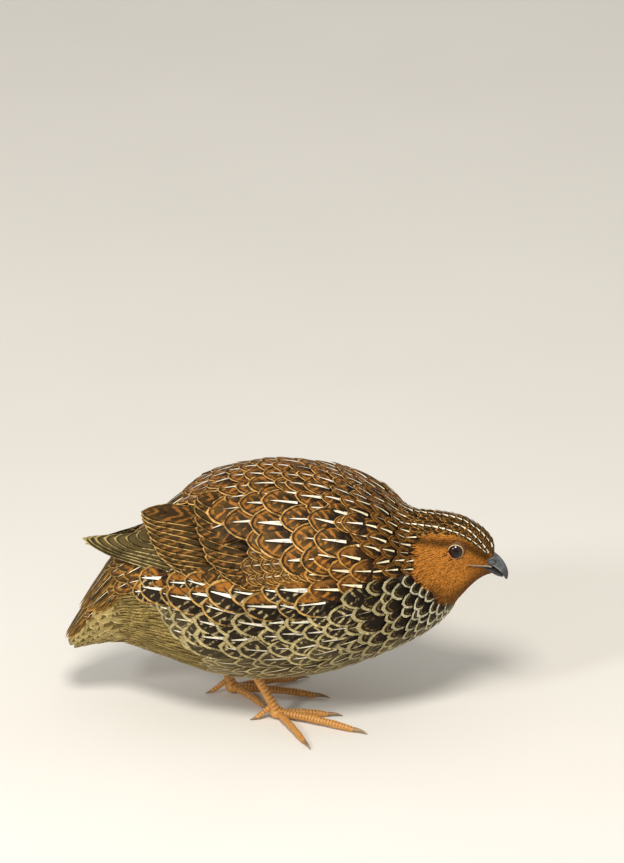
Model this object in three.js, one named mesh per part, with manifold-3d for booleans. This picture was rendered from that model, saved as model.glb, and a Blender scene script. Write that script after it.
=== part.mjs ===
// A cock New Zealand quail, life size, standing in a short hunched step with its tail let down.
// Millimetres, +Z up. The bill points along +X and the bird's left side is +Y. The toes stand on z = 0,
// and the origin is the middle of the bird's box at floor level.
//
// The plumage is one smooth form, parted by thin cuts into head, neck and torso. Each folded wing lies in a
// shallow bed in the torso and carries its flight feathers and coverts as separate tapered vanes, and the
// drooped tail carries its own fan of quills with the coverts over and under it.
import * as THREE from "three";
import { mergeVertices } from "three/addons/utils/BufferGeometryUtils.js";
import Module from "manifold-3d";

const wasm = await Module();
wasm.setup();

// Driving sizes of the bird
const CUT = 0.3; // the thin gap between neighbouring pieces
const VANE = 0.55; // thickness of a feather vane
const ROUND = 32; // corners of a hoop of the body
const EYE_RADIUS = 3.9;
const EYE_AT = { x: 70.0, y: 6.9, z: 76.2 };
const LID_RADIUS = 3.15;
const LID_THICK = 0.5;
const BALL_RADIUS = 4.0; // the ball of the foot, which the toes spread from
const FOOT_REACH = 11.5; // half the distance between the two feet
const ANKLE_HEIGHT = 24;
const TOE_SIDES = 8;

const rad = THREE.MathUtils.degToRad;
const v3 = (x, y, z) => new THREE.Vector3(x, y, z);

// Gives the same small unevenness each time the bird is made.
function seeded(seed) {
  let state = seed;
  return () => {
    state = (state * 16807) % 2147483647;
    return (state / 2147483647) * 2 - 1;
  };
}

// Solids

function closedGeometry(points, faces) {
  const sixfold = faces.reduce(
    (sum, [a, b, c]) => sum + points[a].dot(points[b].clone().cross(points[c])),
    0,
  );
  const turned = sixfold < 0 ? faces.map(([a, b, c]) => [a, c, b]) : faces;
  const geometry = new THREE.BufferGeometry();
  geometry.setFromPoints(points);
  geometry.setIndex(turned.flat());
  return geometry;
}

// Joins a run of hoops, each with the same number of points, and closes both ends.
function skinOver(hoops) {
  const count = hoops[0].length;
  const points = hoops.flat();
  const faces = [];
  for (let i = 0; i + 1 < hoops.length; i++)
    for (let j = 0; j < count; j++) {
      const a = i * count + j;
      const b = i * count + ((j + 1) % count);
      faces.push([a, b, b + count], [a, b + count, a + count]);
    }
  [0, hoops.length - 1].forEach((i) => {
    const middle = hoops[i].reduce((sum, p) => sum.add(p), v3(0, 0, 0)).divideScalar(count);
    const centre = points.push(middle) - 1;
    for (let j = 0; j < count; j++) {
      const rim = [i * count + j, i * count + ((j + 1) % count)];
      faces.push(i === 0 ? [centre, rim[1], rim[0]] : [centre, rim[0], rim[1]]);
    }
  });
  return closedGeometry(points, faces);
}

function toSolid(geometry) {
  const plain = geometry.clone();
  plain.deleteAttribute("normal");
  plain.deleteAttribute("uv");
  const merged = mergeVertices(plain, 1e-4);
  return new wasm.Manifold(
    new wasm.Mesh({
      numProp: 3,
      vertProperties: Float32Array.from(merged.attributes.position.array),
      triVerts: Uint32Array.from(merged.index.array),
    }),
  );
}

function joined(geometries) {
  return geometries.map(toSolid).reduce((all, one) => all.add(one));
}

// The largest closed surface of a solid, which leaves out any sealed hollow or loose scrap.
function toGeometry(solid) {
  const largest = solid.decompose().reduce((a, b) => (b.volume() > a.volume() ? b : a));
  const mesh = largest.getMesh();
  const geometry = new THREE.BufferGeometry();
  geometry.setAttribute("position", new THREE.BufferAttribute(mesh.vertProperties, 3));
  geometry.setIndex(new THREE.BufferAttribute(mesh.triVerts, 1));
  return geometry;
}

// A smooth form: oval hoops threaded on a curved line. A row is one hoop, with its middle, its half height and
// half width, how far it leans forward in degrees, and how much lower than its middle it is widest.
class Form {
  constructor(rows) {
    this.line = new THREE.CatmullRomCurve3(rows.map((r) => v3(r.x, r.y ?? 0, r.z)));
    this.sizes = new THREE.CatmullRomCurve3(rows.map((r) => v3(r.high, r.wide, rad(r.lean))));
    this.drops = new THREE.CatmullRomCurve3(rows.map((r, i) => v3(i, r.drop ?? 0, 0)));
    this.length = this.line.getLength();
    this.last = rows.length - 1;
  }

  // How far along the line a row lies.
  reach(row) {
    const lengths = this.line.getLengths(400);
    return lengths[Math.round((row / this.last) * 400)];
  }

  at(along) {
    const u = THREE.MathUtils.clamp(along / this.length, 0, 1);
    const t = this.line.getUtoTmapping(u);
    const size = this.sizes.getPoint(t);
    return {
      middle: this.line.getPoint(t),
      high: size.x,
      wide: size.y,
      lean: size.z,
      drop: this.drops.getPoint(t).y,
    };
  }

  // A point round a hoop: turn is 0 on top and a quarter turn at the right side when side is -1.
  point(along, turn, lift = 0, side = 1) {
    const hoop = this.at(along);
    const up = (hoop.high + lift) * (Math.cos(turn) - hoop.drop * Math.sin(turn) ** 2);
    const out = (hoop.wide + lift) * Math.sin(turn);
    return v3(
      hoop.middle.x + Math.sin(hoop.lean) * up,
      side * (hoop.middle.y + out),
      hoop.middle.z + Math.cos(hoop.lean) * up,
    );
  }

  hoop(along, lift = 0, round = ROUND) {
    return Array.from({ length: round }, (_, j) =>
      this.point(along, (j / round) * 2 * Math.PI, lift),
    );
  }

  solid(from, to, steps, lift = 0, round = ROUND) {
    return skinOver(
      Array.from({ length: steps + 1 }, (_, i) =>
        this.hoop(from + ((to - from) * i) / steps, lift, round),
      ),
    );
  }
}

// A thin curved leaf: across points over its width, the same triangles on both faces. place(a, c, h) puts a
// point that is a of the way along, c of the half width to one side and h above the leaf's middle.
function leaf(stations, across, thickness, place) {
  const points = [];
  const faces = [];
  const columns = across + 1;
  const layer = stations.length * columns;
  [thickness / 2, -thickness / 2].forEach((h) =>
    stations.forEach(([a, width]) => {
      for (let j = 0; j < columns; j++) points.push(place(a, width * ((2 * j) / across - 1), h));
    }),
  );
  for (let i = 0; i + 1 < stations.length; i++)
    for (let j = 0; j < across; j++) {
      const p = i * columns + j;
      const q = p + columns;
      faces.push([p, p + 1, q + 1], [p, q + 1, q]);
      faces.push([layer + p, layer + q + 1, layer + p + 1], [layer + p, layer + q, layer + q + 1]);
    }
  const rim = [];
  for (let j = 0; j < across; j++) rim.push(j);
  for (let i = 0; i + 1 < stations.length; i++) rim.push(i * columns + across);
  for (let j = across; j > 0; j--) rim.push((stations.length - 1) * columns + j);
  for (let i = stations.length - 1; i > 0; i--) rim.push(i * columns);
  rim.forEach((p, i) => {
    const q = rim[(i + 1) % rim.length];
    faces.push([p, p + layer, q + layer], [p, q + layer, q]);
  });
  return closedGeometry(points, faces);
}

// Half widths of a vane from its root to its tip, as shares of its greatest half width.
const QUILL_SHAPE = [
  [0, 0.5],
  [0.3, 0.84],
  [0.68, 1],
  [0.9, 0.66],
  [1, 0.14],
];
const COVERT_SHAPE = [
  [0, 0.5],
  [0.45, 0.98],
  [0.84, 0.88],
  [1, 0.24],
];

// A vane that lies on a form, from root to tip as [along, turn]. It climbs from sink, below the form, to rise,
// above it. The whole vane tips sideways by tilt, so that it lies over its neighbour like a shingle, and bow
// bends it sideways.
function vaneOn(form, side, { root, tip, half, rise, sink, tilt = 0, bow = 0, shape = COVERT_SHAPE }) {
  const size = (along) => form.at(along).wide;
  const start = [root[0], root[1] * size(root[0])];
  const finish = [tip[0], tip[1] * size(tip[0])];
  const run = [finish[0] - start[0], finish[1] - start[1]];
  const length = Math.hypot(run[0], run[1]);
  const ahead = [run[0] / length, run[1] / length];
  return leaf(shape, 2, VANE, (a, c, h) => {
    const aside = c * half + bow * 4 * a * (1 - a);
    const along = start[0] + ahead[0] * a * length - ahead[1] * aside;
    const round = start[1] + ahead[1] * a * length + ahead[0] * aside;
    const climb = 1 - (1 - a) ** 1.5;
    const lift = THREE.MathUtils.lerp(sink, rise, climb) + tilt * c * half;
    return form.point(along, round / size(along), lift + h, side);
  });
}

// The body: one row for each place along the bird, from the bill to the root of the tail
const BODY_ROWS = [
  { name: "bill base", x: 84.3, z: 68.3, high: 5.4, wide: 3.2, lean: 6, drop: 0 },
  { name: "forehead", x: 82.6, z: 70.3, high: 8.0, wide: 5.6, lean: 7.6, drop: 0.05 },
  { name: "brow", x: 79.7, z: 71.1, high: 10.6, wide: 7.8, lean: 6.8, drop: 0.08 },
  { name: "fore crown", x: 76.4, z: 71.1, high: 13.3, wide: 9.3, lean: 4.2, drop: 0.1 },
  { name: "crown", x: 72.2, z: 71.0, high: 16.4, wide: 10.3, lean: -1.7, drop: 0.12 },
  { name: "hind crown", x: 67.2, z: 70.4, high: 18.8, wide: 11.4, lean: -9.6, drop: 0.14 },
  { name: "nape", x: 60.9, z: 68.7, high: 21.8, wide: 14.2, lean: -18.5, drop: 0.16 },
  { name: "upper neck", x: 54.8, z: 66.7, high: 25.9, wide: 18.8, lean: -18, drop: 0.16 },
  { name: "lower neck", x: 47.8, z: 66.3, high: 30.4, wide: 24.5, lean: -15.8, drop: 0.14 },
  { name: "shoulder", x: 38.5, z: 66.4, high: 35.2, wide: 31, lean: -14.1, drop: 0.1 },
  { name: "breast", x: 26.7, z: 65.3, high: 39.7, wide: 36, lean: -11.8, drop: 0.06 },
  { name: "fore back", x: 12.2, z: 63.5, high: 43.7, wide: 38.5, lean: -9.5, drop: 0.04 },
  { name: "mid back", x: -3.7, z: 61.6, high: 45.1, wide: 39, lean: -7.2, drop: 0.03 },
  { name: "saddle", x: -19.3, z: 59.4, high: 43.9, wide: 37.5, lean: -5.2, drop: 0.03 },
  { name: "hind back", x: -32.8, z: 57.2, high: 39.6, wide: 34, lean: -3.5, drop: 0.03 },
  { name: "fore rump", x: -45.6, z: 53.8, high: 32.4, wide: 27.8, lean: -4, drop: 0.02 },
  { name: "rump", x: -56.8, z: 50, high: 26, wide: 20.5, lean: -6, drop: 0 },
  { name: "tail root", x: -66.4, z: 46.4, high: 20, wide: 14, lean: -7, drop: 0 },
];
const BODY = new Form(BODY_ROWS);
const rowReach = (name) => BODY.reach(BODY_ROWS.findIndex((r) => r.name === name));
const HEAD_END = rowReach("nape") + 1;
const NECK_END = rowReach("lower neck");
const TORSO_END = rowReach("tail root");

// The wing: hoops of the sheet that a folded wing follows, from the wrist to the wing tip
const WING_ROWS = [
  { name: "before the wrist", x: 46, y: -3, z: 67, high: 27.5, wide: 27.5, lean: 0 },
  { name: "wrist", x: 38, y: -2, z: 66.5, high: 31, wide: 31, lean: 0 },
  { name: "forearm", x: 20, y: -2.5, z: 64.6, high: 38.6, wide: 38, lean: 0 },
  { name: "elbow", x: -4, y: -3, z: 62.4, high: 42, wide: 41, lean: 0 },
  { name: "hand", x: -25, y: -3.5, z: 60.4, high: 40.6, wide: 39.2, lean: 0 },
  { name: "inner quills", x: -45, y: -5.2, z: 59, high: 34.2, wide: 32.8, lean: 0 },
  { name: "outer quills", x: -60, y: -8.4, z: 58.6, high: 28, wide: 26.6, lean: 0 },
  { name: "tip", x: -82, y: -15.6, z: 64.2, high: 20, wide: 19.5, lean: 0 },
  { name: "past the tip", x: -92, y: -18, z: 67, high: 16, wide: 16, lean: 0 },
];
// The left wing's tip is held lower and further out, beside the rump: sideways and downwards, by row.
const LEFT_TUCK = { "inner quills": [0.5, 1.5], "outer quills": [2, 4], tip: [5, 6.7], "past the tip": [6, 8] };
const LEFT_WING_ROWS = WING_ROWS.map((row) => {
  const [out, down] = LEFT_TUCK[row.name] ?? [0, 0];
  return { ...row, y: row.y + out, z: row.z - down };
});
const WINGS = { "-1": new Form(WING_ROWS), 1: new Form(LEFT_WING_ROWS) };
// How far along a wing's sheet a place of that x lies.
function wingReach(side, x) {
  const form = WINGS[side];
  let low = 0;
  let high = form.length;
  for (let i = 0; i < 30; i++) {
    const middle = (low + high) / 2;
    if (form.at(middle).middle.x > x) low = middle;
    else high = middle;
  }
  return low;
}
// The wing's own flesh, under its feathers: x, upper edge and lower edge in degrees of turn
const WING_FLESH = [
  [38.5, 55, 58],
  [33, 46, 62],
  [20, 36, 66],
  [0, 31, 70],
  [-20, 29, 72],
  [-34, 30, 71],
  [-44, 36, 64],
];
const FLESH_TOP = -1.6;
const FLESH_BOTTOM = -4.4;

// A plate on the wing's sheet, widened by spread all round. Each row is x, the upper and lower edge in degrees
// of turn, and the height of the plate's inner face.
function wingPlate(side, rows, top, spread = 0) {
  const last = rows.length - 1;
  const stations = rows.map((_, i) => [i / last, 1]);
  const plate = leaf(stations, 6, 1, (a, c, h) => {
    const [x, upper, lower, bottom] = rows[Math.round(a * last)];
    const shift = a === 0 ? spread : a === 1 ? -spread : 0;
    const along = wingReach(side, x + shift);
    const half = rad((lower - upper) / 2) + spread / WINGS[side].at(along).wide;
    return WINGS[side].point(along, rad((upper + lower) / 2) + c * half, h > 0 ? top : bottom, side);
  });
  return toSolid(plate);
}

const fleshPlate = (side, top, grow = 0) =>
  wingPlate(side, WING_FLESH.map((row) => [...row, FLESH_BOTTOM - grow]), top, grow * 2);

// Rows of feathers of one wing, from the hindmost layer forward. roots and tips give x and turn in degrees of
// the row's lowest feather and of its highest one, next to the back.
const WING_TIERS = [
  {
    name: "primaries",
    count: 5,
    roots: [[-24, 72], [-34, 50]],
    tips: [[-82, 66], [-66, 51]],
    half: 4.0,
    rise: 0.5,
    tilt: 0.2,
    bow: 0.8,
    shape: QUILL_SHAPE,
  },
  {
    name: "secondaries",
    count: 6,
    roots: [[-8, 71], [-16, 33]],
    tips: [[-41, 73], [-60, 31]],
    half: 4.8,
    rise: 2.2,
    tilt: 0.22,
    bow: 1.2,
  },
  {
    name: "greater_coverts",
    count: 6,
    roots: [[10, 68], [2, 36]],
    tips: [[-26, 72], [-40, 25]],
    half: 5,
    rise: 3.0,
    tilt: 0.2,
    bow: 1,
  },
  {
    name: "median_coverts",
    count: 5,
    roots: [[24, 63], [18, 42]],
    tips: [[-5, 70], [-15, 29]],
    half: 5.4,
    rise: 3.6,
    tilt: 0.18,
    bow: 0.6,
  },
  {
    name: "lesser_coverts",
    count: 4,
    roots: [[35, 58], [32, 48]],
    tips: [[12, 64], [6, 36]],
    half: 5.2,
    rise: 3.8,
    tilt: 0.16,
    bow: 0.3,
  },
];
const ROOT_SINK = -3.2;

// A shared list of the vanes' settings, so that the wing and the room for it are laid out alike.
function wingVanes(side, seed) {
  const uneven = seeded(seed);
  const mix = THREE.MathUtils.lerp;
  return WING_TIERS.flatMap((tier) =>
    Array.from({ length: tier.count }, (_, i) => {
      const share = i / (tier.count - 1);
      const place = ([low, high], slip = 0) => [
        wingReach(side, mix(low[0], high[0], share) + slip),
        rad(mix(low[1], high[1], share)),
      ];
      return vaneOn(WINGS[side], side, {
        ...tier,
        root: place(tier.roots),
        tip: place(tier.tips, 0.7 * uneven()),
        half: tier.half * (1 + 0.03 * uneven()),
        sink: ROOT_SINK,
      });
    }),
  );
}

// Where a point lies by the wing's sheet: its turn in degrees, and its height over the sheet.
function placeOn(point, side) {
  const hoop = WINGS[side].at(wingReach(side, point.x));
  const out = (side * point.y - hoop.middle.y) / hoop.wide;
  const up = (point.z - hoop.middle.z) / hoop.high;
  return {
    turn: THREE.MathUtils.radToDeg(Math.atan2(out, up)),
    height: (Math.hypot(out, up) - 1) * hoop.wide,
  };
}

// The room that the feathers need, as the rows of a plate at evenly spaced places.
function feathersReach(vanes, side) {
  const step = 9;
  const points = vanes.flatMap((vane) => {
    const at = vane.attributes.position;
    return Array.from({ length: at.count }, (_, i) => v3(0, 0, 0).fromBufferAttribute(at, i));
  });
  const rows = [];
  for (let x = 40.5; x > -70; x -= step) {
    const reach = rows.length ? step * 1.1 : step * 0.8;
    const near = points.filter((p) => Math.abs(p.x - x) < reach).map((p) => placeOn(p, side));
    const turns = near.map((place) => place.turn);
    const lowest = Math.min(...near.map((place) => place.height));
    rows.push([x, Math.min(...turns), Math.max(...turns), lowest - CUT * 2]);
  }
  return rows;
}

function wing(vanes, side) {
  return joined(vanes).add(fleshPlate(side, FLESH_TOP));
}

// The room that a wing's flesh and feathers take out of the torso.
function wingRoom(vanes, side) {
  const outside = 16;
  const forFeathers = wingPlate(side, feathersReach(vanes, side), outside, CUT * 3.2);
  return fleshPlate(side, outside, CUT).add(forFeathers);
}

// The tail: hoops from the root of the tail to its tip
const TAIL_ROWS = [
  { name: "root", x: -66.4, z: 46.4, high: 20, wide: 14, lean: -7 },
  { name: "fore third", x: -72.6, z: 40.8, high: 14, wide: 13, lean: -14 },
  { name: "middle", x: -78.4, z: 35.2, high: 9.2, wide: 12, lean: -22 },
  { name: "hind third", x: -84.4, z: 29.8, high: 5.2, wide: 10.6, lean: -30 },
  { name: "tip", x: -89.6, z: 25.6, high: 1.8, wide: 8.8, lean: -36 },
];
const TAIL = new Form(TAIL_ROWS);

const TAIL_CORE_SHARE = 0.45;
const TAIL_TIERS = [
  { name: "quills", count: 7, from: 7, to: 33, turn: 70, half: 2.6, rise: 0.5, crown: 2.2 },
  { name: "long_upper", count: 4, from: 2, to: 24, turn: 54, half: 3.9, rise: 1.5, crown: 1.2 },
  { name: "short_upper", count: 4, from: 0.8, to: 14, turn: 58, half: 4.8, rise: 1.6, crown: 0.6 },
  { name: "long_under", count: 5, from: 4, to: 29, turn: 68, half: 3.4, rise: 0.6, crown: 1.6, under: true },
  { name: "short_under", count: 4, from: 1, to: 18, turn: 60, half: 4.6, rise: 1.3, crown: 0.8, under: true },
];
const TAIL_STEP = 0.8; // how far each feather of the tail lies under the next one in

function tail() {
  const uneven = seeded(77);
  const vanes = TAIL_TIERS.flatMap((tier) =>
    Array.from({ length: tier.count }, (_, i) => {
      const aside = (2 * i) / (tier.count - 1) - 1;
      const turn = (tier.under ? Math.PI : 0) + rad(tier.turn) * aside;
      const step = (Math.abs(aside) * (tier.count - 1)) / 2;
      return vaneOn(TAIL, 1, {
        root: [tier.from, turn],
        tip: [tier.to - tier.crown * aside * aside + 0.4 * uneven(), turn],
        half: tier.half,
        rise: tier.rise - TAIL_STEP * step,
        sink: -2.4,
        tilt: -0.12 * aside,
        shape: tier.name === "quills" ? QUILL_SHAPE : COVERT_SHAPE,
      });
    }),
  );
  const core = [0, 0.25, 0.5, 0.75, 1].map((share) =>
    TAIL.hoop(CUT + share * TAIL.length * TAIL_CORE_SHARE, -0.8 - 2.4 * share, 20),
  );
  return joined(vanes).add(toSolid(skinOver(core)));
}

// Head, with its lids, the line of its mouth and the sockets of its eyes

function eyeball(radius, side) {
  const ball = new THREE.SphereGeometry(radius, 12, 9);
  ball.translate(EYE_AT.x, side * EYE_AT.y, EYE_AT.z);
  return ball;
}

function lid(side) {
  const ring = new THREE.TorusGeometry(LID_RADIUS, LID_THICK, 5, 16);
  ring.scale(1.04, 0.96, 1);
  ring.rotateX(Math.PI / 2);
  ring.rotateX(side * rad(12));
  ring.rotateZ(side * rad(-10));
  ring.translate(EYE_AT.x + 0.4, side * (EYE_AT.y + 2.35), EYE_AT.z + 0.5);
  return ring;
}

// The feathered brow that shades the eye from above.
function brow(side) {
  const ridge = new THREE.SphereGeometry(1, 10, 7);
  ridge.scale(5.2, 2, 1.6);
  ridge.rotateY(rad(8));
  ridge.rotateZ(side * rad(-15));
  ridge.translate(EYE_AT.x + 0.6, side * 7.0, EYE_AT.z + 3.6);
  return ridge;
}

function mouthLine(side) {
  const length = 9.6;
  const slit = new THREE.BoxGeometry(length, 3, 0.5);
  slit.rotateY(rad(14));
  slit.rotateZ(side * rad(-29));
  slit.translate(80.2, side * 8.05, 68.8);
  return slit;
}

function head() {
  let solid = toSolid(BODY.solid(0, HEAD_END, 13, 0, 28));
  for (const side of [-1, 1]) {
    solid = solid.add(toSolid(brow(side))).add(toSolid(lid(side)));
    solid = solid.subtract(toSolid(mouthLine(side)));
    solid = solid.subtract(toSolid(eyeball(EYE_RADIUS + CUT, side)));
  }
  return solid;
}

// Bill
const UPPER_BILL = new Form([
  { x: 84.6, z: 68.8, high: 3.8, wide: 2.9, lean: 6 },
  { x: 86.7, z: 67.3, high: 2.9, wide: 2.4, lean: 22 },
  { x: 88.5, z: 65.3, high: 2.1, wide: 1.7, lean: 38 },
  { x: 89.5, z: 63.2, high: 1.3, wide: 1.1, lean: 58 },
  { x: 89.9, z: 61, high: 0.5, wide: 0.4, lean: 76 },
]);
const LOWER_BILL = new Form([
  { x: 84.1, z: 63.8, high: 1.5, wide: 2.5, lean: 6 },
  { x: 86, z: 63.3, high: 1.2, wide: 2.1, lean: 6 },
  { x: 88.6, z: 62.6, high: 0.5, wide: 1.1, lean: 6 },
]);

function nostril(side) {
  const slot = new THREE.SphereGeometry(1, 8, 6);
  slot.scale(1.1, 0.8, 0.5);
  slot.rotateY(rad(38));
  slot.translate(86.1, side * 2.45, 68.4);
  return slot;
}

function upperBill() {
  const horn = toSolid(UPPER_BILL.solid(0, UPPER_BILL.length, 8, 0, 14));
  return [-1, 1].reduce((solid, side) => solid.subtract(toSolid(nostril(side))), horn);
}

function lowerBill() {
  const horn = toSolid(LOWER_BILL.solid(0, LOWER_BILL.length, 6, 0, 14));
  return horn.subtract(toSolid(UPPER_BILL.solid(-0.5, UPPER_BILL.length, 8, CUT, 14)));
}

// Legs. A foot's frame has the ball of the foot at its origin, at floor level, and x along the middle toe.
const FEET = [
  { name: "right", side: -1, x: -2.4, turn: -19, lean: -26, middle: 0, inner: 27, outer: -42, hind: 219 },
  { name: "left", side: 1, x: -23, turn: -4, lean: -19, middle: 0, inner: -42, outer: 33, hind: 199 },
];
const TOES = [
  { name: "inner", length: 20.5, thick: 1.5, arch: 1.2 },
  { name: "middle", length: 34, thick: 1.65, arch: 1.5 },
  { name: "outer", length: 28, thick: 1.45, arch: 1.2 },
];
const CLAW_LENGTH = 5.6;
const HALLUX = { height: 5.6, length: 6.4, thick: 1.2 };
const SHANK_RADIUS = 2.1;

// A round bar along a curve, each ring [radius] wide, cut flat at floor level.
function bar(curve, radii, sides = TOE_SIDES) {
  const rings = radii.map((radius, i) => {
    const t = i / (radii.length - 1);
    const middle = curve.getPoint(t);
    const ahead = curve.getTangent(t);
    const across = v3(-ahead.y, ahead.x, 0).normalize();
    const up = ahead.clone().cross(across).normalize();
    return Array.from({ length: sides }, (_, j) => {
      const turn = ((j + 0.5) / sides) * 2 * Math.PI;
      const point = middle
        .clone()
        .addScaledVector(across, Math.cos(turn) * radius)
        .addScaledVector(up, Math.sin(turn) * radius);
      point.z = Math.max(point.z, 0);
      return point;
    });
  });
  return skinOver(rings);
}

// A toe along +x, swollen at its pads, and then its claw.
function toeGeometry({ length, thick, arch }, grow = 0) {
  const curve = new THREE.QuadraticBezierCurve3(
    v3(BALL_RADIUS * 0.6, 0, 2.1),
    v3(length * 0.5, 0, 1.5 + arch),
    v3(length, 0, thick * 0.72),
  );
  const radii = [0.75, 1, 0.93, 1.02, 0.88, 0.96, 0.84, 0.72];
  return bar(curve, radii.map((r) => r * thick + grow));
}

function clawGeometry(start, thick, length) {
  const curve = new THREE.QuadraticBezierCurve3(
    v3(start, 0, thick * 0.75),
    v3(start + length * 0.6, 0, thick * 0.95),
    v3(start + length, 0, 0.32),
  );
  return bar(curve, [0.52, 0.46, 0.34, 0.22].map((r) => r * thick), 6);
}

// The short hind toe starts inside the shank, a little above the floor, and slopes down to it.
function halluxCurve(from, to) {
  const slope = v3(HALLUX.length, 0, HALLUX.thick * 0.8 - HALLUX.height);
  const root = v3(2.4, 0, HALLUX.height);
  return new THREE.LineCurve3(
    root.clone().addScaledVector(slope, from),
    root.clone().addScaledVector(slope, to),
  );
}

function ankleOf(foot) {
  return v3(ANKLE_HEIGHT * Math.tan(rad(foot.lean)), 0, ANKLE_HEIGHT);
}

function shankGeometry(foot, grow = 0) {
  const root = v3(0, 0, 2.2);
  const top = ankleOf(foot);
  top.addScaledVector(top.clone().sub(root).normalize(), grow);
  const curve = new THREE.LineCurve3(root, top);
  return bar(curve, [1.02, 0.94, 0.9, 0.96, 1.1, 1.22].map((r) => r * SHANK_RADIUS + grow), 10);
}

function ballGeometry(grow = 0) {
  const pad = new THREE.SphereGeometry(BALL_RADIUS + grow, 12, 8);
  pad.scale(1, 1, 0.62);
  pad.translate(0, 0, 2.2);
  const at = pad.attributes.position;
  for (let i = 0; i < at.count; i++) at.setZ(i, Math.max(at.getZ(i), 0));
  return pad;
}

// The feathered shin that the bare shank comes out of, leaning up and forward into the belly.
function shinForm(foot) {
  const top = ankleOf(foot);
  const mouth = 0.8;
  return new Form([
    { x: foot.x + top.x + 7, y: FOOT_REACH + 1.5, z: 38, high: 5, wide: 5, lean: 0 },
    { x: foot.x + top.x + 4, y: FOOT_REACH + 1, z: 32, high: 7, wide: 7, lean: 0 },
    { x: foot.x + top.x + 1.4, y: FOOT_REACH + 0.4, z: 26, high: 6, wide: 6, lean: 0 },
    { x: foot.x + top.x * mouth, y: FOOT_REACH, z: 19.2, high: 3.6, wide: 3.6, lean: 0 },
  ]);
}

// Hoops of the shin lie flat, so they are threaded on an upright line.
function shinGeometry(foot, grow = 0) {
  const form = shinForm(foot);
  const steps = 5;
  const rings = Array.from({ length: steps + 1 }, (_, i) => {
    const along = (form.length * i) / steps;
    const hoop = form.at(along);
    const ends = (i === 0 ? grow : 0) - (i === steps ? grow : 0);
    return Array.from({ length: 12 }, (_, j) => {
      const turn = (j / 12) * 2 * Math.PI;
      return v3(
        hoop.middle.x + Math.cos(turn) * (hoop.wide + grow),
        foot.side * hoop.middle.y + Math.sin(turn) * (hoop.wide + grow),
        hoop.middle.z + ends,
      );
    });
  });
  return skinOver(rings);
}

function footGroup(foot) {
  const group = new THREE.Group();
  group.position.set(foot.x, foot.side * FOOT_REACH, 0);
  return group;
}

// Materials
const paint = (color, roughness = 0.8, metalness = 0) =>
  new THREE.MeshStandardMaterial({ color, roughness, metalness });
const FINISHES = {
  crown: paint(0x4a3018),
  face: paint(0xc4641a),
  back: paint(0x6b451f),
  breast: paint(0x6a5c3e),
  wing: paint(0x5e4220),
  tail: paint(0x63492a),
  vent: paint(0x9a8a62),
  horn: paint(0x3b3d42, 0.45),
  eye: paint(0x1c0f0a, 0.12),
  leg: paint(0xb8701f, 0.55),
  claw: paint(0x6d6450, 0.45),
};

function named(name, geometry, finish) {
  const mesh = new THREE.Mesh(geometry, FINISHES[finish]);
  mesh.name = name;
  return mesh;
}

// The whole bird
const quail = new THREE.Group();

// Each wing's feathers, by side, with a seed of their own for their small differences
const feathers = { "-1": wingVanes(-1, 17), 1: wingVanes(1, 33) };
const shanks = FEET.map((foot) => {
  const place = (geometry) => geometry.translate(foot.x, foot.side * FOOT_REACH, 0);
  return {
    foot,
    bare: () => place(shankGeometry(foot)),
    room: () => place(shankGeometry(foot, CUT)),
  };
});

let torsoSolid = toSolid(BODY.solid(NECK_END + CUT, TORSO_END - CUT, 18));
for (const side of [-1, 1]) torsoSolid = torsoSolid.subtract(wingRoom(feathers[side], side));
for (const { foot, room } of shanks) {
  torsoSolid = torsoSolid.subtract(toSolid(shinGeometry(foot, CUT))).subtract(toSolid(room()));
}

quail.add(
  named("head", toGeometry(head()), "face"),
  named("bill_upper", toGeometry(upperBill()), "horn"),
  named("bill_lower", toGeometry(lowerBill()), "horn"),
  named("eye_right", eyeball(EYE_RADIUS, -1), "eye"),
  named("eye_left", eyeball(EYE_RADIUS, 1), "eye"),
  named("neck", BODY.solid(HEAD_END + CUT, NECK_END, 5, 0, 32), "breast"),
  named("torso", toGeometry(torsoSolid), "back"),
  named("wing_right", toGeometry(wing(feathers[-1], -1)), "wing"),
  named("wing_left", toGeometry(wing(feathers[1], 1)), "wing"),
  named("tail", toGeometry(tail()), "tail"),
);

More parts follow.
